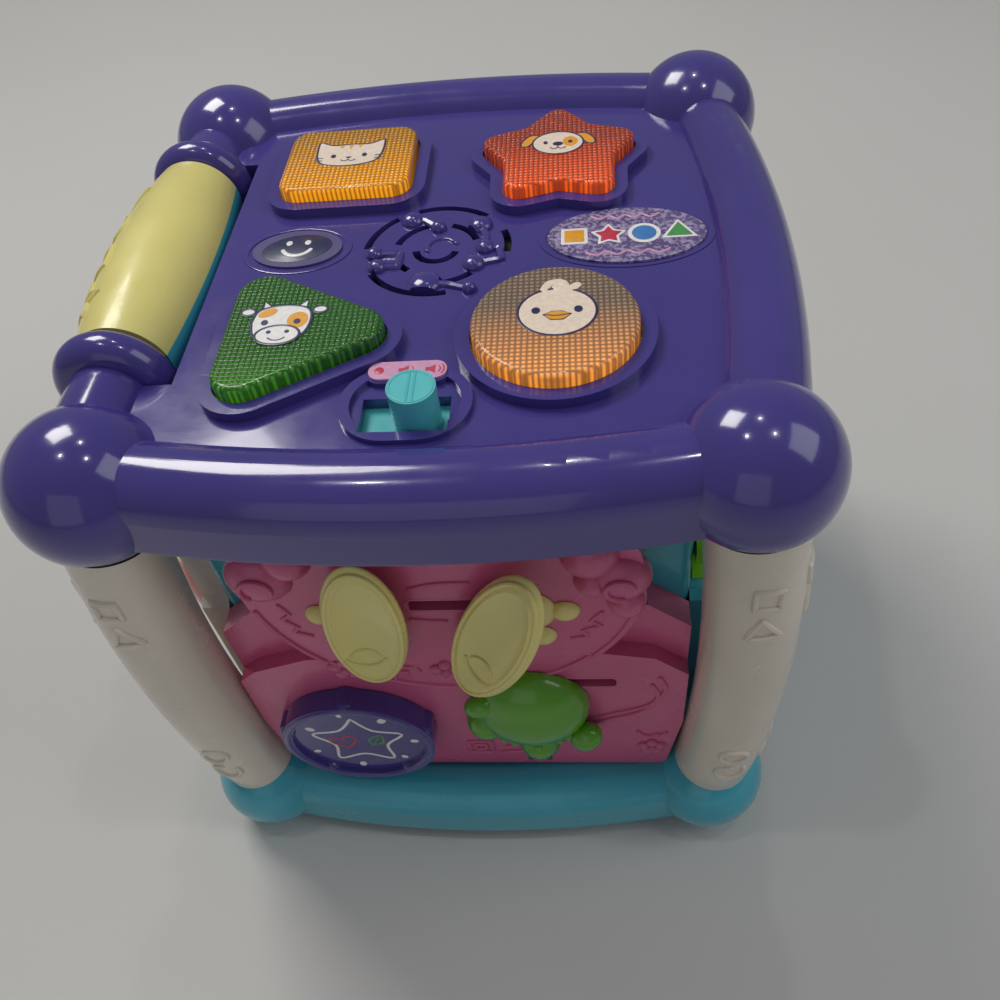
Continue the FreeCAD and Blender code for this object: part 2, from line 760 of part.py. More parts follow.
def make_top_shell():
    """Violet top housing: rails, upper halves of the balls, deck, rims and roller collars."""
    deck = block(
        "deck_block",
        ("-deck_left", "-deck_half", "rail_foot"),
        ("deck_half", "deck_half", "deck_level"),
    )
    corner_decks = [
        block(
            f"deck_corner_{name}",
            ("-ball_span", f"{start}", "rail_foot"),
            ("-deck_left + 1", f"{end}", "deck_level"),
        )
        for name, start, end in (
            ("front", "-ball_span", "-cradle_half"),
            ("rear", "cradle_half", "ball_span"),
        )
    ]
    rails = rail_set("top_rail", "rail_crest", "rail_foot", TOP_RAILS)
    balls = corner_balls("top_ball", "top_ball_level", "ball_radius")
    outside = fuse("top_outside", deck, *corner_decks, *rails, *balls)
    reach = "2 * ball_span"
    above = block("above_parting", (f"-{reach}", f"-{reach}", "parting"), (reach, reach, "2 * top_ball_level"))
    upper = common("top_upper", outside, above)
    inner_rails = rail_set("top_inner_rail", "rail_crest", "rail_foot - wall", TOP_RAILS, "wall")
    inner_balls = corner_balls("top_inner_ball", "top_ball_level", "ball_radius - wall")
    hollow = block(
        "deck_hollow",
        ("-deck_left + wall", "-hollow_half", "rail_foot"),
        ("hollow_half", "hollow_half", "deck_level - wall"),
    )
    switch_hollow = block(
        "switch_hollow",
        ("slot_left - slider_half_x + 3", "switch_y - slider_half_y - gap", "rail_foot"),
        ("slot_right + slider_half_x", "-hollow_half + 1", "deck_level - wall"),
    )
    trough = block(
        "trough_block",
        ("-deck_half", "-cradle_half", "cradle_foot"),
        ("-deck_left + wall", "cradle_half", "deck_level"),
    )
    trough_room = rod(
        "trough_room",
        "cradle_radius",
        ("-roller_x", "-cradle_half - 1", "roller_level"),
        "2 * cradle_half + 2",
        "y",
    )
    cradle = cut("cradle", trough, trough_room)
    rims = [button_prism(shape, f"{shape}_rim", "rim_out", "deck_level - 1", "rim_level") for shape in BUTTONS]
    outer_ring = racetrack("switch_ring_outer", "ring", "deck_level - 1", "deck_level + ring_proud")
    ring_room = ("deck_level - 2", "deck_level + 3 * ring_proud")
    inner_ring = racetrack("switch_ring_inner", "ring", *ring_room, "-ring_width")
    switch_ring = cut("switch_ring", outer_ring, inner_ring)
    label_pad = racetrack("label_pad", "pill", "deck_level - 1", "deck_level + ring_proud", "0.6")
    collars = [collar(-1), collar(1)]
    shell = cut("top_hollowed", upper, *inner_rails, *inner_balls, hollow, switch_hollow)
    whole = fuse("top_whole", shell, cradle, switch_ring, label_pad, *rims, *collars, *note_heads())
    openings = [
        button_prism(shape, f"{shape}_opening", "lens_gap", "deck_level - 2 * wall", "rim_level + 1")
        for shape in BUTTONS
    ]
    slot = block(
        "switch_slot",
        ("slot_left", "switch_y - slot_half", "deck_level - 2 * wall"),
        ("slot_right", "switch_y + slot_half", "deck_level + wall"),
    )
    axle_bore = rod(
        "axle_bore",
        "axle_radius + snug",
        ("-roller_x", "-collar_span", "roller_level"),
        "2 * collar_span",
        "y",
    )
    node(cut("top_shell", whole, *openings, slot, axle_bore, sound_slots()), "top_shell")


def make_top_trim():
    """Lighter lip under the top shell, with the lower caps of the top balls."""
    rails = rail_set("trim_rail", "rail_crest", "rail_foot", TOP_RAILS, "trim_step")
    balls = corner_balls("trim_ball", "top_ball_level", "ball_radius - trim_step")
    ledges = [
        block(
            f"trim_ledge_{name}",
            ("-ball_span", start, "rail_foot + trim_step"),
            ("-deck_left", end, "parting"),
        )
        for name, start, end in (
            ("front", "-ball_span", "-cradle_half - gap"),
            ("rear", "cradle_half + gap", "ball_span"),
        )
    ]
    outside = fuse("trim_outside", *rails, *balls, *ledges)
    reach = "2 * ball_span"
    low = (f"-{reach}", f"-{reach}", "parting - 3 * ball_radius")
    below = block("below_parting", low, (reach, reach, "parting"))
    lower = common("trim_lower", outside, below)
    inner_rails = rail_set("trim_inner_rail", "rail_crest", "rail_foot", TOP_RAILS, "wall + trim_step")
    inner_balls = corner_balls("trim_inner_ball", "top_ball_level", "ball_radius - wall - trim_step")
    holes = spigot_holes("trim_spigot_hole", "top_ball_level - 2 * ball_radius", "top_ball_level")
    node(cut("top_trim", lower, *inner_rails, *inner_balls, *holes), "top_trim")


def make_deck_plates():
    """Thin plates that sit on the deck."""
    for item, label in (("label", "name_plate"), ("badge", "badge_plate")):
        plate = deck_oval(label, item, "deck_level", "deck_level + plate_proud")
        node(plate, label)
    foot = "deck_level + ring_proud"
    node(racetrack("volume_label", "pill", foot, f"{foot} + plate_proud"), "volume_label")


def make_switch():
    """Sliding switch: knob, the plate that covers its slot, and the switch under it."""
    spot = ("switch_x", "switch_y")
    knob = rod("knob_stem", "knob_radius", (*spot, "slider_foot"), "knob_top - slider_foot")
    plate = block(
        "knob_plate",
        ("switch_x - slider_half_x", "switch_y - slider_half_y", "slider_foot"),
        ("switch_x + slider_half_x", "switch_y + slider_half_y", "slider_top"),
    )
    node(fuse("switch_knob", knob, plate), "switch_knob")
    top = "slider_foot - gap"
    node(
        block(
            "switch_body",
            ("switch_x - 6", "-board_half + 0.5", "board_level + board_depth"),
            ("switch_x + 6", "-board_half + 5.5", top),
        ),
        "switch_body",
    )


def make_electronics():
    """Circuit board with speaker, key pads, lamps and the sensor that feels the cube move."""
    board_top = "board_level + board_depth"
    board = doc.addObject("PartDesign::Body", "circuit_board")
    sketch = new_sketch(board, "board_outline", "XY_Plane", "board_level")
    draw_polygon(sketch, [
        ("-board_left", "-board_half"),
        ("board_half", "-board_half"),
        ("board_half", "board_half"),
        ("-board_left", "board_half"),
    ])
    draw_circle(sketch, "speaker_radius + 1")
    pad = board.newObject("PartDesign::Pad", "board_pad")
    pad.Profile = sketch
    bind(pad, "Length", "board_depth")
    node(board, "circuit_board")

    pads = []
    lamps = []
    for shape in BUTTONS:
        x, y = f"{shape}_x", f"{shape}_y"
        pads.append(rod(f"{shape}_key", "5", (f"{x} - 4", y, board_top), "1.4"))
        lamps.append(rod(f"{shape}_lamp", "2.5", (f"{x} + 7", y, board_top), "3.5"))
    node(fuse("key_pads", *pads), "key_pads")
    node(fuse("lamps", *lamps), "lamps")
    magnet_foot = "board_level - 1.2"
    node(
        turned("speaker", [
            ("0", "0"),
            ("speaker_radius * 0.55", "0"),
            ("speaker_radius * 0.55", "3.5"),
            ("speaker_radius", "5.5"),
            ("speaker_radius", "8"),
            ("speaker_radius - 1.6", "8"),
            ("speaker_radius * 0.45", "5"),
            ("0", "5.6"),
        ], magnet_foot),
        "speaker",
    )
    node(
        rod("motion_sensor", "3", ("label_x", "label_y", board_top), "3"),
        "motion_sensor",
    )


def make_tray():
    """Plate that closes the housing from below and sits on the core."""
    blank = block(
        "tray_blank",
        ("-deck_left + wall + gap", "-tray_half", "tray_level"),
        ("tray_half", "tray_half", "tray_level + tray_depth"),
    )
    tray = cut("tray_plate", blank, ball_room("tray_ball_room"))
    pillars = []
    for sx in (-1, 1):
        for sy in (-1, 1):
            pillars.append(rod(
                f"board_pillar_{sx}_{sy}",
                "3",
                (f"{sx} * (board_left - 4)", f"{sy} * (board_half - 4)", "tray_level + tray_depth"),
                "board_level - tray_level - tray_depth",
            ))
    node(fuse("housing_floor", tray, *pillars), "housing_floor")


def make_roller():
    """Roller handle in two half shells on a steel axle."""
    blank = barrel("roller", "roller_half", "roller_mid", "roller_end", "axle_radius + running",
                   ("-roller_x", "0", "roller_level"), "y")
    for label, side in (("roller_outer", 1), ("roller_inner", -1)):
        half = doc.addObject("Part::Box", f"{label}_space")
        bind(half, "Length", "4 * roller_mid")
        bind(half, "Width", "4 * roller_half")
        bind(half, "Height", "2 * roller_mid")
        tilt = size("roller_split") + (0 if side > 0 else 180)
        turn = Rotation(Vector(0, 1, 0), -tilt)
        corner = turn.multVec(Vector(-2, 0, 0))
        place(half, (
            f"-roller_x + roller_mid * {corner.x:.6f}",
            "-2 * roller_half",
            f"roller_level + roller_mid * {corner.z:.6f}",
        ), turn)
        node(common(label, blank, half), label)
    node(
        rod(
            "roller_axle",
            "axle_radius",
            ("-roller_x", "-collar_span + gap", "roller_level"),
            "2 * collar_span - 2 * gap",
            "y",
        ),
        "roller_axle",
    )


# ---------------------------------------------------------------- base


def make_base():
    """Teal base with its cover, battery compartment and feet."""
    faces = tuple(FACES)
    rails = rail_set("base_rail", "base_crest", "base_foot", faces)
    balls = corner_balls("base_ball", "base_ball_level", "ball_radius")
    floor = block(
        "base_floor",
        ("-deck_half + 3", "-deck_half + 3", "base_foot + wall"),
        ("deck_half - 3", "deck_half - 3", "base_deck"),
    )
    outside = fuse("base_outside", *rails, *balls, floor)
    inner_rails = rail_set("base_inner_rail", "base_crest", "base_foot", faces, "wall")
    inner_balls = corner_balls("base_inner_ball", "base_ball_level", "ball_radius - wall")
    hollow = block(
        "base_hollow",
        ("-hollow_half", "-hollow_half", "-1"),
        ("hollow_half", "hollow_half", "base_deck - wall"),
    )
    reach = "2 * ball_span"
    under = block("under_feet", (f"-{reach}", f"-{reach}", "-ball_radius"), (reach, reach, "foot_stand"))
    holes = spigot_holes("base_spigot_hole", "base_ball_level", "base_ball_level + 2 * ball_radius")
    foot_room = [
        rod(
            f"foot_room_{corner}",
            "foot_radius",
            (f"{sx} * ball_span", f"{sy} * ball_span", "-1"),
            "foot_depth + 1",
        )
        for corner, (sx, sy) in CORNERS.items()
    ]
    node(
        cut("base_shell", outside, *inner_rails, *inner_balls, hollow, under, *holes, *foot_room),
        "base_shell",
    )
    for corner, (sx, sy) in CORNERS.items():
        node(
            rod(
                f"foot_{corner}",
                "foot_radius - snug / 2",
                (f"{sx} * ball_span", f"{sy} * ball_span", "0"),
                "foot_depth",
            ),
            f"foot_{corner}",
        )


def make_base_cover():
    """Underside cover with the battery box, its door and the screws."""
    cover = prism("cover_plate", rectangle("hollow_half - gap", "hollow_half - gap"),
                  "cover_level", "cover_level + cover_depth", "4")
    box_top = "base_deck - wall - gap"
    box_outer = block(
        "battery_box_outer",
        ("-door_half_x", "-door_half_y", "cover_level"),
        ("door_half_x", "door_half_y", box_top),
    )
    box_inner = block(
        "battery_box_inner",
        ("-door_half_x + 1.6", "-door_half_y + 1.6", "cover_level - 1"),
        ("door_half_x - 1.6", "door_half_y - 1.6", f"{box_top} - 0.6"),
    )
    door_room = block(
        "door_room",
        ("-door_half_x + 1.6", "-door_half_y + 1.6", "cover_level - 1"),
        ("door_half_x - 1.6", "door_half_y - 1.6", "cover_level + cover_depth"),
    )
    spots = [(sx, sy) for sx in (-1, 1) for sy in (-1, 1)]
    screw_holes = [
        rod(f"cover_hole_{sx}_{sy}", "screw_radius + snug",
            (f"{sx} * (hollow_half - 9)", f"{sy} * (hollow_half - 9)", "cover_level - 1"), "cover_depth + 2")
        for sx, sy in spots
    ]
    body = fuse("cover_body", cover, box_outer)
    node(cut("base_cover", body, box_inner, door_room, *screw_holes), "base_cover")

    door = block(
        "door_blank",
        ("-door_half_x + door_sheet + gap", "-door_half_y + door_sheet + gap", "cover_level"),
        ("door_half_x - door_sheet - gap", "door_half_y - door_sheet - gap", "cover_level + door_sheet"),
    )
    hole_foot = ("0", "door_half_y - door_screw_in", "cover_level - 1")
    hole = rod("door_hole", "screw_radius + snug", hole_foot, "cover_depth + 2")
    node(cut("battery_door", door, hole), "battery_door")
    node(screw("door_screw", ("0", "door_half_y - door_screw_in"), "cover_level - 0.9", "5"), "door_screw")
    screws = [
        screw(f"cover_screw_{sx}_{sy}", (f"{sx} * (hollow_half - 9)", f"{sy} * (hollow_half - 9)"),
              "cover_level - 0.9", "10")
        for sx, sy in spots
    ]
    node(fuse("cover_screws", *screws), "cover_screws")

    level = "cover_level + 1.6 + gap + cell_radius"
    cells = []
    caps = []
    for side in (-1, 1):
        y = f"{side} * cell_spacing / 2 - 2"
        start = "-cell_length / 2 + 0.4"
        cells.append(rod(f"cell_{side}", "cell_radius", (start, y, level), "cell_length - 0.8", "x"))
        nipple = "cell_length / 2 - 0.4" if side > 0 else "-cell_length / 2"
        caps.append(rod(f"cell_tip_{side}", "1.8", (nipple, y, level), "0.4", "x"))
    node(fuse("batteries", *cells, *caps), "batteries")
    contacts = []
    for side in (-1, 1):
        start = "cell_length / 2 + 0.2" if side > 0 else "-cell_length / 2 - 0.8"
        contacts.append(block(
            f"contact_{side}",
            (start, "-cell_spacing / 2 - 6", f"{level} - 3"),
            (f"{start} + 0.6", "cell_spacing / 2 + 2", f"{level} + 3"),
        ))
    node(fuse("battery_contacts", *contacts), "battery_contacts")


def screw(name, spot, foot, length):
    """Pan-head screw pointing up, with its head at `foot`."""
    head = rod(f"{name}_head", "screw_head", (*spot, foot), "0.9")
    shank = rod(f"{name}_shank", "screw_radius", (*spot, f"{foot} + 0.9"), f"{length}")
    return fuse(name, head, shank)


# ---------------------------------------------------------------- core and side panels


def make_core():
    """Four-walled core that joins base and top and carries the side panels."""
    blank = prism("core_blank", rectangle("core_half", "core_half"), "base_deck", "core_top", "3")
    room = prism("core_room", rectangle("core_half - wall", "core_half - wall"),
                 "base_deck - 1", "core_top + 1", "1")
    under_trough = block(
        "under_trough",
        ("-core_half - 1", "-cradle_half - gap", "core_top_left"),
        ("-deck_left + gap", "cradle_half + gap", "core_top + 1"),
    )
    holes = [
        rod("core_hole_dial", "shaft_radius + 1", ("dial_x", "-core_half - 1", "dial_level"), "wall + 2", "y"),
        block("core_slot_turtle",
              ("turtle_slot_left - 8", "-core_half - 1", "turtle_slot_level - 6"),
              ("turtle_slot_right + 6", "-core_half + wall + 1", "turtle_slot_level + 6")),
        block("core_slot_wings",
              ("-wing_x - 7", "-core_half - 1", "wing_slot_level - 6"),
              ("wing_slot_right + 6", "-core_half + wall + 1", "wing_slot_level + 6")),
    ]
    for index, spot in enumerate(GEAR_SPOTS):
        holes.append(rod(f"core_hole_gear_{index}", "gear_pin_radius + snug",
                         ("core_half - wall - 1", *spot), "wall + 2", "x"))
    bay = spinner_bay("core_bay", "bay_room + bay_wall + gap", "1 + bay_wall + gap")
    node(cut("core_frame", blank, under_trough, room, bay, ball_room("core_ball_room"), *holes), "core_frame")


def spinner_bay(name, out, past):
    """Upright cylinder round the spinner, wider by `out` and longer by `past` at each end."""
    return rod(name, f"spinner_mid + {out}", ("-spinner_x", "spinner_y", f"spinner_foot - ({past})"),
               f"spinner_top - spinner_foot + 2 * ({past})")


def panel_outline():
    sides = [
        ("panel_half_foot", "panel_foot"),
        ("panel_half", "panel_waist"),
        ("panel_half", "panel_shoulder"),
        ("panel_half_top", "panel_top"),
    ]
    return sides + [(f"-({across})", level) for across, level in reversed(sides)]


def inset_outline(out):
    """The panel outline moved in by `out`."""
    return [
        (f"{across} - {1 if index < 4 else -1} * ({out})", f"{level} {'-' if index in (3, 4) else '+'} ({out})")
        if index in (0, 3, 4, 7) else
        (f"{across} - {1 if index < 4 else -1} * ({out})", level)
        for index, (across, level) in enumerate(panel_outline())
    ]


def upright_slab(name, face, corners, back, front):
    """Slab on one side of the cube, from depth `back` to `front`."""
    part = prism(name, corners, back, front)
    return place(part, face_spot(face, "0", "0", "0"), face_turn(face))


def panel_tray(name, face, bosses=()):
    """Hollow-backed side panel, left solid where it meets the bosses."""
    outside = upright_slab(f"{name}_outside", face, panel_outline(), "core_half", "panel_front")
    inside = upright_slab(f"{name}_inside", face, inset_outline("wall"), "core_half - 1", "panel_back")
    if bosses:
        inside = cut(f"{name}_hollow", inside, *bosses)
    return cut(f"{name}_tray", outside, inside, ball_room(f"{name}_ball_room"))


def slot_cutter(name, left, right, level, height, out_from, out_to):
    return block(
        name,
        (left, f"-({out_to})", f"{level} - ({height}) / 2"),
        (right, f"-({out_from})", f"{level} + ({height}) / 2"),
    )


HILL_CREST = (
    ("panel_half", 74),
    ("47", 81.5),
    ("33", 84.5),
    ("0", 86),
    ("-36", 82.5),
    ("-50", 77),
    ("-panel_half", 72.5),
)


def hill_outline(out="0"):
    """Outline of the hill relief, its upper line raised by `out`."""
    foot = [
        ("-panel_half", "panel_waist"),
        ("-panel_half_foot", "panel_foot"),
        ("panel_half_foot", "panel_foot"),
        ("panel_half", "panel_waist"),
    ]
    return foot + [(across, f"{level} + {out}") for across, level in HILL_CREST]


def make_front():
    """Pink front: hollow-backed panel with the hill relief, and the big disc above it."""
    hill = upright_slab("hill", "front", hill_outline(), "panel_back", "hill_front")
    hill_cut = cut("hill_cut", hill, ball_room("hill_ball_room"))
    turtle_slot = slot_cutter("turtle_slot", "turtle_slot_left", "turtle_slot_right",
                              "turtle_slot_level", "slot_height", "core_half - 1", "hill_front + 1")
    dial_hole = rod("dial_hole", "shaft_radius + running", ("dial_x", "-hill_front - 1", "dial_level"),
                    "hill_front - core_half + 2", "y")
    behind_slot = slot_cutter("behind_wing_slot", "-wing_x - 7", "wing_slot_right + 6",
                              "wing_slot_level", "12", "core_half - 1", "panel_front + 1")
    blank = fuse("front_blank", panel_tray("front", "front"), hill_cut)
    node(cut("front_panel", blank, turtle_slot, dial_hole, behind_slot), "front_panel")

    disc = rod("disc_blank", "disc_radius", ("disc_x", "-disc_front", "disc_level"),
               "disc_front - panel_front - gap / 6", "y")
    rib = rod("disc_rib", "disc_radius - 6", ("disc_x", "-panel_front - 1", "disc_level"),
              "panel_front + 1 - core_half", "y")
    rib_room = rod("disc_rib_room", "disc_radius - 6 - wall", ("disc_x", "-panel_front - 2", "disc_level"),
                   "panel_front + 3 - core_half", "y")
    rib_ring = cut("disc_rib_ring", rib, rib_room)
    over_panel = block(
        "disc_over_panel",
        ("-panel_half - 1", "-panel_front - gap / 6", "panel_foot"),
        ("panel_half + 1", "-core_half + 1", "panel_top + gap"),
    )
    rib_top = cut("disc_rib_top", rib_ring, over_panel)
    trimmed = block(
        "disc_cut_off",
        ("-2 * disc_radius", "-disc_front - 1", "disc_cut"),
        ("2 * disc_radius", "-core_half + 1", "2 * disc_cut"),
    )
    hill_room = upright_slab("hill_room", "front", hill_outline("gap / 6"), "panel_back", "disc_front + 1")
    wing_slot = slot_cutter("wing_slot", "wing_slot_left", "wing_slot_right",
                            "wing_slot_level", "slot_height", "core_half", "disc_front + 1")
    left_hole = rod("left_wing_hole", "wing_post_radius + snug",
                    ("-wing_x", "-disc_front - 1", "wing_slot_level"), "disc_front - core_half + 2", "y")
    whole = fuse("disc_whole", disc, rib_top)
    node(cut("front_disc", whole, trimmed, hill_room, wing_slot, left_hole), "front_disc")


def make_dial():
    """Clicking dial with six grip lugs on its edge, on a shaft through the front."""
    depth = "dial_depth - gap"
    dial = doc.addObject("PartDesign::Body", "dial")
    sketch = new_sketch(dial, "dial_outline", "XY_Plane")
    draw_circle(sketch, "dial_radius")
    disc = dial.newObject("PartDesign::Pad", "dial_disc")
    disc.Profile = sketch
    bind(disc, "Length", depth)
    lug_sketch = new_sketch(dial, "dial_lug_outline", "XY_Plane")
    draw_circle(lug_sketch, "dial_lug_radius", ("0", "dial_radius - dial_lug_radius + 1"))
    lug = dial.newObject("PartDesign::Pad", "dial_lug")
    lug.Profile = lug_sketch
    bind(lug, "Length", f"({depth}) - dial_dish")
    doc.recompute()
    pattern = dial.newObject("PartDesign::PolarPattern", "dial_lugs")
    pattern.Originals = [lug]
    pattern.Axis = (lug_sketch, ["N_Axis"])
    pattern.Angle = 360
    pattern.Occurrences = 5
    dial.Tip = pattern
    dish_sketch = new_sketch(dial, "dial_dish_outline", "XY_Plane", depth)
    draw_circle(dish_sketch, "dial_radius - dial_rim")
    dish = dial.newObject("PartDesign::Pocket", "dial_dished")
    dish.Profile = dish_sketch
    bind(dish, "Length", "dial_dish")
    shaft_sketch = new_sketch(dial, "dial_bore_outline", "XY_Plane", "0")
    draw_circle(shaft_sketch, "shaft_radius - 1")
    bore = dial.newObject("PartDesign::Pocket", "dial_bore")
    bore.Profile = shaft_sketch
    bore.Reversed = True
    bind(bore, "Length", "2.5")
    place(dial, ("dial_x", "-hill_front - gap", "dial_level"), face_turn("front"))
    node(dial, "dial")
    shaft_length = "hill_front + gap - core_half + wall + 3"
    shaft_face = ("dial_x", "-hill_front - gap", "dial_level")
    shaft = rod("dial_shaft_rod", "shaft_radius", shaft_face, shaft_length, "y")
    spigot = rod("dial_shaft_spigot", "shaft_radius - 1 - 0.02",
                 ("dial_x", "-hill_front - gap - 2.4", "dial_level"), "2.5", "y")
    click_wheel = rod("dial_click_wheel", "shaft_radius + 4",
                      ("dial_x", "-core_half + wall + gap", "dial_level"), "2.4", "y")
    node(fuse("dial_shaft", shaft, spigot, click_wheel), "dial_shaft")


def offset_spot(spot, turn, local):
    """Sheet expressions of `spot` moved by a local offset."""
    axes = [turn.multVec(Vector(*unit)) for unit in ((1, 0, 0), (0, 1, 0), (0, 0, 1))]
    return tuple(
        base + "".join(f" + ({axis[index]:.6f}) * ({step})" for axis, step in zip(axes, local))
        for index, base in enumerate(spot)
    )


def wing_solid(label, side):
    """Dished wing, lying flat on its hinge axis Y, with two hinge barrels bored for the pin."""
    upright = ALONG["y"]
    middle = (f"{side} * wing_hinge_in", "0", "wing_hinge_back")
    paddle = egg(f"{label}_paddle", ("wing_half_x", "wing_half_z", "wing_half_y"), middle)
    scoop_halves = ("wing_half_x - wing_rim", "wing_half_z - wing_rim", "wing_half_y")
    scoop_spot = (middle[0], "0", "wing_hinge_back + wing_half_y + wing_dish")
    scoop = egg(f"{label}_scoop", scoop_halves, scoop_spot)
    barrels = [
        rod(f"{label}_barrel_{index}", "wing_barrel", ("0", start, "0"), "wing_pin_half - 4.5", turn=upright)
        for index, start in enumerate(("4.5", "-wing_pin_half"))
    ]
    bore = rod(f"{label}_bore", "wing_pin_radius + running", ("0", "-wing_pin_half - gap", "0"),
               "2 * wing_pin_half + 2 * gap", turn=upright)
    cheek = "wing_post_radius + wing_cheek"
    room = block(f"{label}_post_room", ("-3.5 * wing_post_radius", f"-({cheek})", "-4 * wing_barrel"),
                 ("3.5 * wing_post_radius", cheek, "wing_barrel"))
    dish = cut(f"{label}_dish", paddle, scoop)
    solid = fuse(f"{label}_solid", dish, *barrels)
    return cut(label, solid, bore, room)


def wing_bug(label, side, spot, flat):
    """Domed body with two round feet, flat on the disc behind a wing."""
    back = "-disc_front - gap / 2"
    lumps = [
        egg(f"{label}_{part}", (radius, rise, radius),
            (f"{spot[0]} + {side} * ({across})", f"{back} + bug_sink", f"{spot[2]} + ({up})"))
        for part, radius, across, up, rise in (
            ("dome", "bug_radius", "bug_in", "-bug_drop", "bug_rise"),
            ("foot_out", "bug_foot", "bug_in + 1.22 * bug_radius", "-bug_drop", "bug_rise * 0.8"),
            ("foot_low", "bug_foot", "bug_in + bug_radius / 2", "-bug_drop - 1.3 * bug_radius", "bug_rise * 0.8"),
        )
    ]
    low, high = ("-2 * disc_radius", back, "panel_foot"), ("2 * disc_radius", "0", "2 * disc_level")
    behind = block(f"{label}_behind", low, high)
    barrel_room = rod(f"{label}_barrel_room", "wing_barrel + gap",
                      offset_spot(spot, flat, ("0", "-wing_pin_half - gap", "0")),
                      "2 * wing_pin_half + 2 * gap", turn=flat * ALONG["y"])
    return cut(f"{label}_bug", fuse(f"{label}_lumps", *lumps), behind, barrel_room)


def make_wings():
    """Two dished wings; each turns on the cross pin of a domed body whose post goes through the disc."""
    for side, which in ((-1, "left"), (1, "right")):
        label = f"{which}_wing"
        spot = (f"({side} * wing_x)", "-wing_hinge_out", "wing_level")
        flat = face_turn("front") * Rotation(Vector(0, 0, 1), -size(f"{which}_wing_lean"))
        turned_by = -size("wing_turn") if side > 0 else 0
        wing = wing_solid(label, side)
        place(wing, spot, flat * Rotation(Vector(0, 1, 0), turned_by))
        node(wing, label)
        pin = rod(f"{label}_pin", "wing_pin_radius", offset_spot(spot, flat, ("0", "-wing_pin_half", "0")),
                  "2 * wing_pin_half", turn=flat * ALONG["y"])
        knuckle = ball(f"{label}_knuckle", "wing_post_radius", spot)
        post = rod(f"{label}_post", "wing_post_radius", spot, "wing_hinge_out - core_half + wall + 1", "y")
        washer = rod(f"{label}_washer", "washer_radius", (spot[0], "-core_half - 1", spot[2]), "washer_depth", "y")
        bug = wing_bug(label, side, spot, flat)
        node(fuse(f"{label}_hinge", pin, knuckle, post, washer, bug), f"{label}_hinge")


def make_turtle():
    """Turtle that slides along its slot, with a pin to the guide behind the panel."""
    back = "-hill_front - gap"
    shell = egg("turtle_shell", ("turtle_half_x", "turtle_depth", "turtle_half_z"),
                ("turtle_x", back, "turtle_level + 3"))
    head = egg("turtle_head", ("6", "6.5", "8"), ("turtle_x + 1", back, "turtle_level - 14"))
    foot = egg("turtle_foot", ("5.5", "5.5", "6"), ("turtle_x - 12", back, "turtle_level - 5"))
    behind = block("turtle_behind",
                   ("turtle_x - 2 * turtle_half_x", back, "turtle_level - 2 * turtle_half_z"),
                   ("turtle_x + 2 * turtle_half_x", "0", "turtle_level + 2 * turtle_half_z"))
    body = cut("turtle_body", fuse("turtle_lump", shell, head, foot), behind)
    pin_spot = ("turtle_x", "-hill_front - 2", "turtle_slot_level")
    pin = rod("turtle_pin", "turtle_pin_radius", pin_spot, "hill_front + 2 - core_half + wall + 2.4", "y")
    node(fuse("turtle", body, pin), "turtle")
    guide = block("guide_blank",
                  ("turtle_x - 5", "-core_half + wall + 0.3", "turtle_slot_level - 4"),
                  ("turtle_x + 5", "-core_half + wall + 2.3", "turtle_slot_level + 4"))
    hole = rod("guide_hole", "turtle_pin_radius", ("turtle_x", "-core_half", "turtle_slot_level"), "8", "y")
    node(cut("turtle_guide", guide, hole), "turtle_guide")


def gear_body(name, tip, teeth, bore):
    """Chunky toy gear: a disc with tapered teeth round it, on its own Z."""
    gear = doc.addObject("PartDesign::Body", name)
    sketch = new_sketch(gear, f"{name}_disc_outline", "XY_Plane")
    draw_circle(sketch, f"({tip}) - gear_root_drop")
    draw_circle(sketch, bore)
    disc = gear.newObject("PartDesign::Pad", f"{name}_disc")
    disc.Profile = sketch
    bind(disc, "Length", "gear_depth")
    tooth_sketch = new_sketch(gear, f"{name}_tooth_outline", "XY_Plane")
    root = f"({tip}) - gear_root_drop - 1"
    draw_polygon(tooth_sketch, [
        ("-gear_tooth_half - 1.2", root),
        ("gear_tooth_half + 1.2", root),
        ("gear_tooth_half * 0.72", f"({tip}) - 0.3"),
        ("-gear_tooth_half * 0.72", f"({tip}) - 0.3"),
    ])
    tooth = gear.newObject("PartDesign::Pad", f"{name}_tooth")
    tooth.Profile = tooth_sketch
    bind(tooth, "Length", "gear_depth")
    doc.recompute()
    pattern = gear.newObject("PartDesign::PolarPattern", f"{name}_teeth")
    pattern.Originals = [tooth]
    pattern.Axis = (tooth_sketch, ["N_Axis"])
    pattern.Angle = 360
    bind(pattern, "Occurrences", teeth)
    gear.Tip = pattern
    return gear


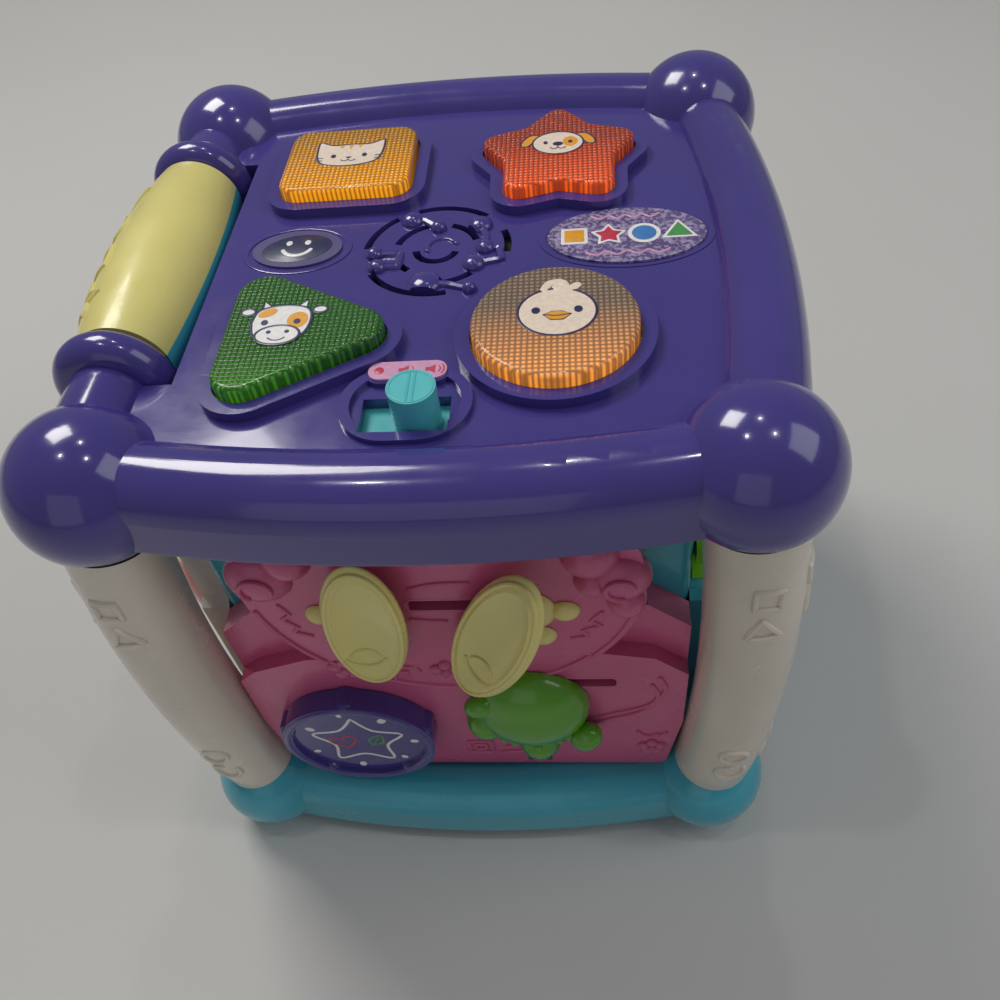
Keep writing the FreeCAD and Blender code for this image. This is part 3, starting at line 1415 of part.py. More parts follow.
def make_right_side():
    """Teal right side with two meshing gears on pins, each in a round recess."""
    bosses = []
    rooms = []
    for index, (tip, spot) in enumerate(zip(("gear_tip", SMALL_TIP), GEAR_SPOTS)):
        start = ("core_half - 2", *spot)
        bosses.append(rod(f"gear_boss_{index}", f"{tip} + gear_room + wall", start, "panel_front", "x"))
        rooms.append(rod(f"gear_room_{index}", f"{tip} + gear_room", start, "panel_front", "x"))
    node(cut("right_panel", panel_tray("right", "right", bosses), *rooms), "right_panel")
    gears = (
        ("gear_large", "gear_tip", "gear_teeth"),
        ("gear_small", SMALL_TIP, "small_teeth"),
    )
    for (label, tip, teeth), (y, level) in zip(gears, GEAR_SPOTS):
        gear = gear_body(label, tip, teeth, "gear_pin_radius + running")
        place(gear, ("gear_back", y, level), face_turn("right"))
        node(gear, label)
        pin = rod(f"{label}_pin_rod", "gear_pin_radius", ("core_half - wall", y, level),
                  "gear_back + gear_depth + gap - core_half + wall", "x")
        cap_spot = ("gear_back + gear_depth + gap", y, level)
        cap = rod(f"{label}_pin_cap", "gear_pin_radius + pin_cap_rim", cap_spot, "washer_depth", "x")
        node(fuse(f"{label}_pin", pin, cap), f"{label}_pin")


def make_left_side():
    """Left side with a bay for a three-part spinner on an upright pin."""
    shell = spinner_bay("bay_shell", "bay_room + bay_wall", "1 + bay_wall")
    keep = block("bay_keep", ("-panel_front", "-core_half", "0"), ("0", "core_half", "2 * spinner_top"))
    tray = panel_tray("left", "left")
    blank = fuse("left_blank", tray, common("bay_inside", shell, keep))
    room = spinner_bay("bay_room", "bay_room", "1")
    spot = ("-spinner_x", "spinner_y")
    pin_start = (*spot, "spinner_foot - 1 - bay_wall")
    pin_length = "spinner_top - spinner_foot + 2 + 2 * bay_wall"
    pin_hole = rod("bay_pin_hole", "spinner_pin_radius + snug", pin_start, pin_length)
    node(cut("left_panel", blank, room, pin_hole), "left_panel")
    node(rod("spinner_pin", "spinner_pin_radius", pin_start, pin_length), "spinner_pin")
    bore = "spinner_pin_radius + running"
    drum = barrel("spinner_drum", "(spinner_neck - spinner_waist) / 2", "spinner_mid", "spinner_end",
                  bore, (*spot, "(spinner_neck + spinner_waist) / 2"))
    node(drum, "spinner_drum")
    for label, foot, top, low, high in (
        ("spinner_cone", "spinner_foot", "spinner_waist", "spinner_end * 0.6", "spinner_end"),
        ("spinner_cap", "spinner_neck", "spinner_top", "spinner_end + 1", "spinner_end * 0.55"),
    ):
        cone = doc.addObject("Part::Cone", f"{label}_blank")
        bind(cone, "Radius1", low)
        bind(cone, "Radius2", high)
        bind(cone, "Height", f"({top}) - ({foot})")
        place(cone, (*spot, foot))
        hole = rod(f"{label}_bore", bore, (*spot, f"({foot}) - 1"), f"({top}) - ({foot}) + 2")
        node(cut(label, cone, hole), label)


def make_rear_side():
    """Plain rear side."""
    node(panel_tray("rear", "rear"), "rear_panel")


def check_and_write():
    """Refuse any failed object, then write each sub-part to its own file."""
    doc.recompute()
    failed = [obj for obj in doc.Objects if {"Invalid", "Error"} & set(obj.State)]
    if failed:
        raise RuntimeError("\n".join(f"{obj.Label}: {obj.getStatusString()}" for obj in failed))
    os.makedirs("parts", exist_ok=True)
    for label, obj in nodes.items():
        shape = obj.Shape
        if shape.isNull() or not shape.isValid() or not shape.Solids:
            raise RuntimeError(f"{label}: shape is empty or invalid")
        shape.exportStep(os.path.join("parts", f"{label}.step"))
        box = shape.BoundBox
        print(f"{label:20s} solids {len(shape.Solids)} volume {shape.Volume:10.1f}"
              f" x {box.XMin:7.2f}..{box.XMax:7.2f} y {box.YMin:7.2f}..{box.YMax:7.2f}"
              f" z {box.ZMin:7.2f}..{box.ZMax:7.2f}")
    print(len(nodes), "nodes")


fill_sheet()
make_top_shell()
make_top_trim()
make_lenses()
make_deck_plates()
make_switch()
make_electronics()
make_tray()
make_roller()
make_posts()
make_base()
make_base_cover()
make_core()
make_front()
make_dial()
make_wings()
make_turtle()
make_right_side()
make_left_side()
make_rear_side()
check_and_write()
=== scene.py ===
"""Looks of a five-sided toy activity cube: finishes, prints, reliefs and the studio round it."""
import logging
import math
from collections.abc import Callable, Iterable, Sequence
from dataclasses import dataclass, field
from enum import Enum

import bmesh
import bpy
from mathutils import Matrix, Vector
from mathutils.bvhtree import BVHTree


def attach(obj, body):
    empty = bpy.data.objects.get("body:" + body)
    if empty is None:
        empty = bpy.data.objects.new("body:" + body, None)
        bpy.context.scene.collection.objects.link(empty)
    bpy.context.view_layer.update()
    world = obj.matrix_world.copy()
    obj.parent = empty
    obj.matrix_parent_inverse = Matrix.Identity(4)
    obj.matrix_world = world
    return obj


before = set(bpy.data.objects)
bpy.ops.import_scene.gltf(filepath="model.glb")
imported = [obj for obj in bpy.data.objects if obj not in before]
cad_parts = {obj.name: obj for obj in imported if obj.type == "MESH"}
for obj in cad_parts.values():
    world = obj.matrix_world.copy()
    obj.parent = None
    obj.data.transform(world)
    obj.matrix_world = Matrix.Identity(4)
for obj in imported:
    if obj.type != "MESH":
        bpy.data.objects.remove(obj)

LOG = logging.getLogger("cube")
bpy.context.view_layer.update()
MM = 0.001
FAR = 200.0
# levels on the front, out from the middle of the cube
HILL_FRONT = 66.0
DISC_FRONT = 66.6
WING_HINGE_OUT = 69.6
Point = tuple[float, float]
Line = list[Point]


class Side(Enum):
    """Sides of the cube, each with the heading of its outward face about Z, in degrees."""

    TOP = None
    FRONT = 0.0
    RIGHT = 90.0
    REAR = 180.0
    LEFT = 270.0

    def turn(self) -> Matrix:
        """Turn from the side's own across, up and out to the cube's axes."""
        if self is Side.TOP:
            return Matrix.Identity(4)
        heading = Matrix.Rotation(math.radians(self.value), 4, "Z")
        return heading @ Matrix.Rotation(math.radians(90), 4, "X")


# ---------------------------------------------------------------- finishes


def tint(code: str) -> tuple[float, float, float, float]:
    """Linear colour of a six-digit screen colour."""
    levels = [int(code[place:place + 2], 16) / 255 for place in (0, 2, 4)]
    linear = [v / 12.92 if v <= 0.04045 else ((v + 0.055) / 1.055) ** 2.4 for v in levels]
    return (*linear, 1.0)


def shade(colour: Sequence[float], factor: float) -> tuple[float, float, float, float]:
    """A colour made lighter or darker."""
    return (*(min(1.0, level * factor) for level in colour[:3]), 1.0)


class Recipe:
    """A material under construction: a Principled shader fed from Object coordinates."""

    def __init__(self, name: str) -> None:
        """Start a material of that name."""
        self.material = bpy.data.materials.new(name)
        self.material.use_nodes = True
        self.tree = self.material.node_tree
        self.shader = self.tree.nodes["Principled BSDF"]
        self.coords = self.tree.nodes.new("ShaderNodeTexCoord").outputs["Object"]
        self.normal: bpy.types.NodeSocket | None = None

    def set(self, **values: float | Sequence[float]) -> None:
        """Set the shader's own sockets; an underscore in a name stands for a space."""
        for name, value in values.items():
            self.shader.inputs[name.replace("_", " ")].default_value = value

    def feed(self, socket: str, output: bpy.types.NodeSocket) -> None:
        """Link an output to one of the shader's sockets."""
        self.tree.links.new(output, self.shader.inputs[socket])

    def stretched(self, scale: Sequence[float]) -> bpy.types.NodeSocket:
        """Object coordinates stretched along their axes."""
        mapping = self.tree.nodes.new("ShaderNodeMapping")
        mapping.inputs["Scale"].default_value = scale
        self.tree.links.new(self.coords, mapping.inputs["Vector"])
        return mapping.outputs["Vector"]

    def noise(self, scale: float, detail: float = 2.0,
              coords: bpy.types.NodeSocket | None = None) -> bpy.types.NodeSocket:
        """Smooth noise with `scale` cells to the metre."""
        texture = self.tree.nodes.new("ShaderNodeTexNoise")
        texture.inputs["Scale"].default_value = scale
        texture.inputs["Detail"].default_value = detail
        self.tree.links.new(coords or self.coords, texture.inputs["Vector"])
        return texture.outputs["Fac"]

    def ribs(self, pitch: float, direction: str) -> bpy.types.NodeSocket:
        """Even ribs a pitch apart, in metres, that follow one another along X, Y or Z."""
        texture = self.tree.nodes.new("ShaderNodeTexWave")
        texture.bands_direction = direction
        texture.inputs["Scale"].default_value = 2 * math.pi / (20 * pitch)
        self.tree.links.new(self.coords, texture.inputs["Vector"])
        return texture.outputs["Fac"]

    def along(self, axis: str) -> bpy.types.NodeSocket:
        """Place along one axis, in metres."""
        split = self.tree.nodes.new("ShaderNodeSeparateXYZ")
        self.tree.links.new(self.coords, split.inputs["Vector"])
        return split.outputs[axis]

    def grid(self, pitch: float) -> bpy.types.NodeSocket:
        """Square cells a pitch apart: high in their middles, low between them, and ribs down the sides."""
        both = self.tree.nodes.new("ShaderNodeMath")
        both.operation = "MULTIPLY"
        for index, direction in enumerate("XY"):
            self.tree.links.new(self.ribs(pitch, direction), both.inputs[index])
        return both.outputs["Value"]

    def ramp(self, factor: bpy.types.NodeSocket, stops: Iterable[tuple[float, Sequence[float]]]
             ) -> bpy.types.NodeSocket:
        """Colours spread over a factor."""
        ramp = self.tree.nodes.new("ShaderNodeValToRGB")
        elements = ramp.color_ramp.elements
        for index, (place, colour) in enumerate(stops):
            element = elements[index] if index < 2 else elements.new(place)
            element.position, element.color = place, colour
        self.tree.links.new(factor, ramp.inputs["Fac"])
        return ramp.outputs["Color"]

    def span(self, factor: bpy.types.NodeSocket, low: float, high: float,
             start: float = 0.3, end: float = 0.7) -> bpy.types.NodeSocket:
        """A factor spread from low to high."""
        spread = self.tree.nodes.new("ShaderNodeMapRange")
        for socket, value in (("From Min", start), ("From Max", end), ("To Min", low), ("To Max", high)):
            spread.inputs[socket].default_value = value
        self.tree.links.new(factor, spread.inputs["Value"])
        return spread.outputs["Result"]

    def bump(self, height: bpy.types.NodeSocket, distance: float, strength: float = 1.0) -> None:
        """Add a bump of that depth in metres on top of earlier ones."""
        bump = self.tree.nodes.new("ShaderNodeBump")
        bump.inputs["Distance"].default_value = distance
        bump.inputs["Strength"].default_value = strength
        self.tree.links.new(height, bump.inputs["Height"])
        if self.normal is not None:
            self.tree.links.new(self.normal, bump.inputs["Normal"])
        self.normal = bump.outputs["Normal"]
        self.feed("Normal", self.normal)


@dataclass(frozen=True)
class Finish:
    """A finish and the record slot that it stands for."""

    name: str
    slot: str
    colour: str

    def mix(self, recipe: Recipe) -> None:
        """Fill in the recipe; each kind of finish has its own."""
        raise NotImplementedError

    def material(self) -> bpy.types.Material:
        """The finish's material, made the first time it is asked for."""
        made = bpy.data.materials.get(self.name)
        if made is None:
            recipe = Recipe(self.name)
            self.mix(recipe)
            made = recipe.material
        return made


@dataclass(frozen=True)
class Plastic(Finish):
    """Moulded plastic: faint flow in the colour, orange peel, and rubbed patches."""

    rough: float = 0.2
    peel: float = 1.2e-5
    coat: float = 0.25

    def mix(self, recipe: Recipe) -> None:
        """Colour flow, uneven gloss, fine scratches and peel."""
        base = tint(self.colour)
        flow = recipe.noise(28, 3)
        recipe.feed("Base Color", recipe.ramp(flow, ((0.25, shade(base, 0.9)), (0.8, shade(base, 1.08)))))
        rubbed = recipe.noise(95, 5)
        recipe.feed("Roughness", recipe.span(rubbed, self.rough * 0.8, self.rough * 1.45, 0.35, 0.75))
        recipe.bump(recipe.noise(420, 2), self.peel)
        scratches = recipe.noise(60, 6, recipe.stretched((1.0, 14.0, 5.0)))
        recipe.bump(recipe.span(scratches, 1.0, 0.0, 0.62, 0.7), self.peel * 0.9, 0.5)
        recipe.set(Coat_Weight=self.coat, Coat_Roughness=0.06, IOR=1.5)


@dataclass(frozen=True)
class ClearPlastic(Finish):
    """Tinted clear plastic, ribbed so that its top is a fine grid and its sides are fluted."""

    # Painted glow of the lens, which is no lamp: its colour, the span along Y over which it fades from front
    # to rear, and its strength.
    painted_glow: str = "ffffff"
    painted_glow_span: Point = (0.0, 0.01)
    power: float = 1.0
    clear: float = 0.3
    pitch: float = 0.00115

    def mix(self, recipe: Recipe) -> None:
        """Saturated cells with painted shade in their joints and painted highlights on their middles, and a
        painted glow that is strongest towards the front.
        """
        base, painted_glow = tint(self.colour), tint(self.painted_glow)
        cells = recipe.grid(self.pitch)
        # Painted shade in the joints between the raised cells and painted highlights on their middles, over
        # the lens colour.
        skin = ((0.02, shade(base, 0.5)), (0.3, base), (0.9, shade(base, 1.35)))
        recipe.feed("Base Color", recipe.ramp(cells, skin))
        # Painted glow: emission in the cells' pattern, strongest at the front and fading to 12 percent towards
        # the rear.
        recipe.feed("Emission Color", recipe.ramp(cells, ((0.0, shade(painted_glow, 0.3)), (0.7, painted_glow))))
        strength = recipe.span(recipe.along("Y"), self.power, self.power * 0.12, *self.painted_glow_span)
        recipe.feed("Emission Strength", strength)
        recipe.bump(cells, 0.00025)
        recipe.feed("Roughness", recipe.span(recipe.noise(160, 3), 0.08, 0.2))
        recipe.set(Transmission_Weight=self.clear, IOR=1.49, Coat_Weight=0.4, Coat_Roughness=0.06)


@dataclass(frozen=True)
class Prism(Finish):
    """Faceted reflector under a lens."""

    # Brighter colour of the painted glints.
    painted_glow: str = "ffc040"

    def mix(self, recipe: Recipe) -> None:
        """Painted glints: the colour varies at random from the tint to a brighter colour, for facets catching
        the light.
        """
        painted_glints = recipe.noise(380, 2)
        colours = ((0.38, tint(self.colour)), (0.66, tint(self.painted_glow)))
        recipe.feed("Base Color", recipe.ramp(painted_glints, colours))
        recipe.feed("Roughness", recipe.span(recipe.noise(200), 0.12, 0.3))
        recipe.set(Metallic=0.35, Coat_Weight=0.6, Coat_Roughness=0.08)


@dataclass(frozen=True)
class Ink(Finish):
    """Printed ink: thin, slightly uneven cover."""

    rough: float = 0.42

    def mix(self, recipe: Recipe) -> None:
        """Colour with the fine mottle of a pad print."""
        base = tint(self.colour)
        mottle = recipe.noise(900, 3)
        recipe.feed("Base Color", recipe.ramp(mottle, ((0.3, shade(base, 0.9)), (0.7, shade(base, 1.05)))))
        recipe.feed("Roughness", recipe.span(recipe.noise(300), self.rough - 0.08, self.rough + 0.08))
        recipe.set(Coat_Weight=0.3, Coat_Roughness=0.15)


@dataclass(frozen=True)
class Foil(Finish):
    """Sparkling label film."""

    fleck: str = "ffffff"

    def mix(self, recipe: Recipe) -> None:
        """Film with small bright flecks."""
        flecks = recipe.noise(1100, 4)
        colours = ((0.44, tint(self.colour)), (0.6, tint(self.fleck)))
        recipe.feed("Base Color", recipe.ramp(flecks, colours))
        recipe.feed("Roughness", recipe.span(flecks, 0.18, 0.4))
        recipe.bump(flecks, 2e-5)
        recipe.set(Metallic=0.25, Coat_Weight=0.5)


@dataclass(frozen=True)
class Metal(Finish):
    """Plated steel with fine drawing lines."""

    rough: float = 0.28

    def mix(self, recipe: Recipe) -> None:
        """Metal with lines round it."""
        base = tint(self.colour)
        lines = recipe.noise(220, 4, recipe.stretched((1.0, 1.0, 12.0)))
        recipe.feed("Base Color", recipe.ramp(lines, ((0.3, shade(base, 0.8)), (0.7, base))))
        recipe.feed("Roughness", recipe.span(lines, self.rough - 0.08, self.rough + 0.12))
        recipe.bump(lines, 1e-5)
        recipe.set(Metallic=1.0)


@dataclass(frozen=True)
class Rubber(Finish):
    """Matt rubber or paper with a fine tooth."""

    def mix(self, recipe: Recipe) -> None:
        """Dull colour with a fine grain."""
        base = tint(self.colour)
        grain = recipe.noise(1400, 3)
        recipe.feed("Base Color", recipe.ramp(grain, ((0.3, shade(base, 0.85)), (0.7, shade(base, 1.1)))))
        recipe.feed("Roughness", recipe.span(grain, 0.62, 0.85))
        recipe.bump(grain, 3e-5)


PURPLE = Plastic("purple plastic", "purple_gloss", "463c88", rough=0.16, coat=0.5)
LILAC = Plastic("lilac plastic", "lilac_trim", "585080", rough=0.3, coat=0.1)
CREAM = Plastic("cream plastic", "cream", "e0d6c4", rough=0.22)
PINK = Plastic("pink plastic", "pink", "d0608a", rough=0.3, peel=2.2e-5, coat=0.15)
TEAL = Plastic("teal plastic", "teal", "3fa9bb", rough=0.22)
AQUA = Plastic("aqua plastic", "teal", "55c2c4", rough=0.3, coat=0.15)
YELLOW = Plastic("pale yellow plastic", "yellow", "e9dd86", rough=0.3, coat=0.15)
GREEN = Plastic("green plastic", "green", "5aa21c", rough=0.2, coat=0.4)
LIME = Plastic("lime plastic", "green", "7cc51e", rough=0.22)
RED = Plastic("red plastic", "red", "c01f2c", rough=0.18, coat=0.4)
WHITE = Plastic("white plastic", "white", "e6e2da", rough=0.3)
CHARCOAL = Plastic("charcoal plastic", "charcoal", "26262c", rough=0.5, coat=0.0)
LAMP = Plastic("lamp plastic", "lamp_white", "fff2cc", rough=0.15)
BOARD = Plastic("board", "board", "2f6b3a", rough=0.4)
STEEL = Metal("plated steel", "steel", "b9bcc2")
CELL = Plastic("cell sleeve", "cell_wrap", "2f6f45", rough=0.25)
PAD = Rubber("key pad", "rubber_pad", "b9b7b0")
FOOT = Rubber("foot rubber", "foot_rubber", "4a4a4e")
CONE = Rubber("speaker cone", "speaker_black", "222226")
# The lenses carry a painted glow, strongest towards the front of each lens.
AMBER_LENS = ClearPlastic("amber lens", "lens_amber", "d89a18", painted_glow="ffa808", painted_glow_span=(0.016, 0.045), power=0.7)
RED_LENS = ClearPlastic("red lens", "lens_red", "c4482c", painted_glow="ff6a08", painted_glow_span=(0.014, 0.036), power=0.7)
GREEN_LENS = ClearPlastic("green lens", "lens_green", "2f7a16", painted_glow="58b010", painted_glow_span=(-0.05, -0.038), power=0.3)
SMOKE_LENS = ClearPlastic("smoke lens", "lens_clear", "8a8478", painted_glow="ff9a10", painted_glow_span=(-0.046, -0.028), power=0.8)
# The prisms carry painted glints in a brighter colour.
AMBER_PRISM = Prism("amber prism", "lens_amber", "e79a10", painted_glow="ffd75a")
RED_PRISM = Prism("red prism", "lens_red", "dc4a26", painted_glow="ff9a30")
GREEN_PRISM = Prism("green prism", "lens_green", "2f8a1c", painted_glow="8fe05a")
SMOKE_PRISM = Prism("smoke prism", "lens_clear", "9a9a8c", painted_glow="ffc85a")
CREAM_INK = Ink("cream ink", "label", "f3dfc9")
WHITE_INK = Ink("white ink", "label", "f2f0ec")
AMBER_INK = Ink("amber ink", "label", "efa62a")
DARK_INK = Ink("dark ink", "label", "2a2350")
NAVY_INK = Ink("navy ink", "label", "1c2550")
PINK_INK = Ink("pink ink", "label", "d79abd")
RED_INK = Ink("red ink", "label", "c8304e")
GREEN_INK = Ink("green ink", "label", "4a9a50")
BLUE_INK = Ink("blue ink", "label", "3f7fc0")
FOIL = Foil("label film", "label", "6a5a8c", fleck="b4a6c8")


# ---------------------------------------------------------------- drawing


def arc(radius: float, start: float, end: float, across: float = 0.0, up: float = 0.0,
        steps: int = 24) -> Line:
    """Points on an arc, with its start and end in degrees."""
    turns = [math.radians(start + (end - start) * step / steps) for step in range(steps + 1)]
    return [(across + radius * math.cos(turn), up + radius * math.sin(turn)) for turn in turns]


def moved(line: Line, across: float, up: float, spin: float = 0.0, size: float = 1.0) -> Line:
    """A line turned by `spin` degrees, scaled and moved."""
    cosine, sine = math.cos(math.radians(spin)) * size, math.sin(math.radians(spin)) * size
    return [(across + x * cosine - y * sine, up + x * sine + y * cosine) for x, y in line]


def flowing(points: Line, steps: int = 6) -> Line:
    """A smooth line through all the points."""
    knots = [points[0], *points, points[-1]]
    line: Line = []
    for before, start, end, after in zip(knots, knots[1:], knots[2:], knots[3:]):
        for step in range(steps):
            t = step / steps
            weights = (-t + 2 * t**2 - t**3, 2 - 5 * t**2 + 3 * t**3, t + 4 * t**2 - 3 * t**3, t**3 - t**2)
            spots = zip(weights, (before, start, end, after))
            pairs = [(weight / 2 * x, weight / 2 * y) for weight, (x, y) in spots]
            line.append((sum(x for x, _ in pairs), sum(y for _, y in pairs)))
    return [*line, points[-1]]


def closed(line: Line) -> Line:
    """The line led back to its start."""
    return [*line, line[0]]


def star_line(tip: float, valley: float, count: int = 5, first: float = 90.0) -> Line:
    """Outline of a star."""
    turns = [math.radians(first + 180 * step / count) for step in range(2 * count)]
    reach = [valley if step % 2 else tip for step in range(2 * count)]
    return [(r * math.cos(turn), r * math.sin(turn)) for r, turn in zip(reach, turns)]


def polygon_line(radius: float, count: int, first: float = 90.0) -> Line:
    """Outline of a regular polygon."""
    return star_line(radius, radius, count, first)[::2]


def dense(line: Line, step: float = 0.8) -> Line:
    """The line with points at most a step apart."""
    points: Line = [line[0]]
    for (x0, y0), (x1, y1) in zip(line, line[1:]):
        parts = max(1, math.ceil(math.hypot(x1 - x0, y1 - y0) / step))
        points += [(x0 + (x1 - x0) * n / parts, y0 + (y1 - y0) * n / parts) for n in range(1, parts + 1)]
    return points


class Surface:
    """Outer surface of some CAD nodes, which reliefs are laid on."""

    trees: dict[str, BVHTree] = {}

    def __init__(self, *nodes: str) -> None:
        """Remember the nodes."""
        self.nodes = nodes

    def hit(self, start: Vector, way: Vector) -> Vector | None:
        """First point of the nodes on the way, in metres, or None."""
        best: tuple[float, Vector] | None = None
        for node in self.nodes:
            if node not in Surface.trees:
                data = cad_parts[node].data
                faces = [tuple(face.vertices) for face in data.polygons]
                Surface.trees[node] = BVHTree.FromPolygons([v.co for v in data.vertices], faces)
            spot, _, _, distance = Surface.trees[node].ray_cast(start, way)
            if spot is not None and (best is None or distance < best[0]):
                best = (distance, spot)
        return None if best is None else best[1]


class Moulding:
    """A piece being made, in millimetres across, up and out of one side of the cube."""

    def __init__(self, name: str, side: Side = Side.TOP, seat: Matrix | None = None) -> None:
        """Start an empty piece.

        Args:
            name: The piece's name.
            side: The side of the cube that it lies on.
            seat: A further turn and place on that side.
        """
        self.name = name
        self.base = Matrix.Scale(MM, 4) @ side.turn() @ (seat or Matrix.Identity(4))
        self.mesh = bmesh.new()

    def place(self, verts: Iterable[bmesh.types.BMVert], spot: Sequence[float], spin: float = 0.0,
              tilt: float = 0.0, stretch: Sequence[float] = (1.0, 1.0, 1.0)) -> None:
        """Stretch, tilt about across, spin about out, and move some vertices."""
        turn = Matrix.Rotation(math.radians(spin), 4, "Z") @ Matrix.Rotation(math.radians(tilt), 4, "X")
        move = Matrix.Translation(spot) @ turn @ Matrix.Diagonal((*stretch, 1.0))
        bmesh.ops.transform(self.mesh, matrix=move, verts=list(verts))

    def raise_face(self, face: bmesh.types.BMFace, height: float, bevel: float, segments: int
                   ) -> list[bmesh.types.BMVert]:
        """Extrude a flat face upwards, bevel its upper edge, and return the new piece's vertices."""
        start = set(face.verts)
        raised = bmesh.ops.extrude_face_region(self.mesh, geom=[face])["geom"]
        verts = [item for item in raised if isinstance(item, bmesh.types.BMVert)]
        tops = [item for item in raised if isinstance(item, bmesh.types.BMFace)]
        bmesh.ops.translate(self.mesh, verts=verts, vec=(0, 0, height))
        made = start | set(verts)
        if bevel > 0:
            edges = [edge for top in tops for edge in top.edges]
            rounded = bmesh.ops.bevel(self.mesh, geom=edges, offset=bevel, offset_type="OFFSET",
                                      segments=segments, profile=0.5, affect="EDGES",
                                      clamp_overlap=True, material=-1)
            made |= set(rounded["verts"])
        return [vert for vert in made if vert.is_valid]

    def plate(self, outline: Line, foot: float, top: float, bevel: float = 0.3, rounding: float = 0.0,
              segments: int = 2) -> None:
        """A flat plate on an outline, from foot to top, with its corners and upper edge rounded."""
        verts = [self.mesh.verts.new((x, y, 0)) for x, y in outline]
        face = self.mesh.faces.new(verts)
        if rounding > 0:
            rounded = bmesh.ops.bevel(self.mesh, geom=verts, offset=rounding, offset_type="OFFSET",
                                      segments=5, profile=0.5, affect="VERTICES",
                                      clamp_overlap=True, material=-1)
            face = max(rounded["verts"][0].link_faces, key=lambda flat: flat.calc_area())
        made = self.raise_face(face, top - foot, bevel, segments)
        self.place(made, (0, 0, foot))

    def disc(self, radius: float, foot: float, top: float, spot: Point = (0, 0), bevel: float = 0.3,
             stretch: Point = (1, 1), spin: float = 0.0, count: int = 48) -> None:
        """A round or oval plate."""
        ring = bmesh.ops.create_circle(self.mesh, cap_ends=True, radius=radius, segments=count)["verts"]
        self.place(ring, (0, 0, 0), stretch=(*stretch, 1))
        made = self.raise_face(ring[0].link_faces[0], top - foot, bevel, 2)
        self.place(made, (*spot, foot), spin)

    def egg(self, halves: Sequence[float], spot: Sequence[float], spin: float = 0.0, tilt: float = 0.0,
            count: int = 28) -> None:
        """An egg-shaped lump."""
        ball = bmesh.ops.create_uvsphere(self.mesh, u_segments=count, v_segments=count // 2, radius=1)
        self.place(ball["verts"], spot, spin, tilt, halves)

    def hoop(self, radius: float, bead: float, spot: Sequence[float], stretch: Point = (1, 1),
             count: int = 64) -> None:
        """A ring with a round section, spun from a circle."""
        section = bmesh.ops.create_circle(self.mesh, radius=bead, segments=12)["verts"]
        turn = Matrix.Rotation(math.radians(90), 4, "X")
        bmesh.ops.transform(self.mesh, matrix=Matrix.Translation((radius, 0, 0)) @ turn, verts=section)
        edges = list({edge for vert in section for edge in vert.link_edges})
        before = set(self.mesh.verts) - set(section)
        bmesh.ops.spin(self.mesh, geom=[*section, *edges], cent=(0, 0, 0), axis=(0, 0, 1),
                       angle=2 * math.pi, steps=count, use_merge=True)
        made = [vert for vert in self.mesh.verts if vert not in before]
        self.place(made, spot, stretch=(*stretch, 1))

    def drape(self, line: Line, surface: Surface) -> list[Vector]:
        """The line laid on a surface from outside; points that miss it are dropped."""
        inward = (self.base.to_3x3() @ Vector((0, 0, -1))).normalized()
        back = self.base.inverted()
        hits = [surface.hit(self.base @ Vector((x, y, FAR)), inward) for x, y in dense(line)]
        return [back @ spot for spot in hits if spot is not None]

    def bead(self, line: Line, radius: float, out: float | Surface, flat: float = 1.0,
             ends: bool = True) -> None:
        """A rounded ridge along a line.

        Args:
            line: Its middle line.
            radius: Its half width.
            out: The level of its middle, or the surface that it lies on.
            flat: How high it stands, as a share of its half width; a ridge on a surface ignores it.
            ends: Whether its ends are round.
        """
        draped = isinstance(out, Surface)
        spots = self.drape(line, out) if draped else [Vector((x, y, 0)) for x, y in line]
        if len(spots) < 2:
            raise ValueError(f"{self.name}: a ridge misses its surface")
        curve = bpy.data.curves.new(self.name, "CURVE")
        curve.dimensions = "3D"
        curve.bevel_depth = radius
        curve.bevel_resolution = 2
        curve.use_fill_caps = True
        spline = curve.splines.new("POLY")
        cyclic = (spots[0] - spots[-1]).length < radius / 4
        if cyclic:
            spots = spots[:-1]
        spline.points.add(len(spots) - 1)
        for point, spot in zip(spline.points, spots):
            point.co = (*spot, 1)
        spline.use_cyclic_u = cyclic
        holder = bpy.data.objects.new(self.name, curve)
        drawn = bpy.data.meshes.new_from_object(holder)
        before = set(self.mesh.verts)
        self.mesh.from_mesh(drawn)
        verts = [vert for vert in self.mesh.verts if vert not in before]
        bpy.data.objects.remove(holder)
        bpy.data.curves.remove(curve)
        bpy.data.meshes.remove(drawn)
        if not draped:
            self.place(verts, (0, 0, out), stretch=(1, 1, flat))
        if ends and not cyclic:
            lift = 1.0 if draped else flat
            for spot in (spots[0], spots[-1]):
                level = spot.z if draped else out
                self.egg((radius, radius, radius * lift), (spot.x, spot.y, level), count=12)

    def facets(self, centre: Point, halves: Point, level: float, pitch: float, rise: float,
               inside: Callable[[float, float], bool]) -> None:
        """A sheet of small pyramids, kept where `inside` says."""
        counts = [max(2, round(2 * half / pitch)) for half in halves]
        sheet = bmesh.ops.create_grid(self.mesh, x_segments=counts[0], y_segments=counts[1], size=1)["verts"]
        self.place(sheet, (*centre, level), stretch=(*halves, 1))
        outer = [face for face in self.mesh.faces if not inside(*face.calc_center_median().xy)]
        bmesh.ops.delete(self.mesh, geom=outer, context="FACES")
        bmesh.ops.poke(self.mesh, faces=self.mesh.faces[:], offset=rise)
        bmesh.ops.solidify(self.mesh, geom=self.mesh.faces[:], thickness=-rise * 1.5)

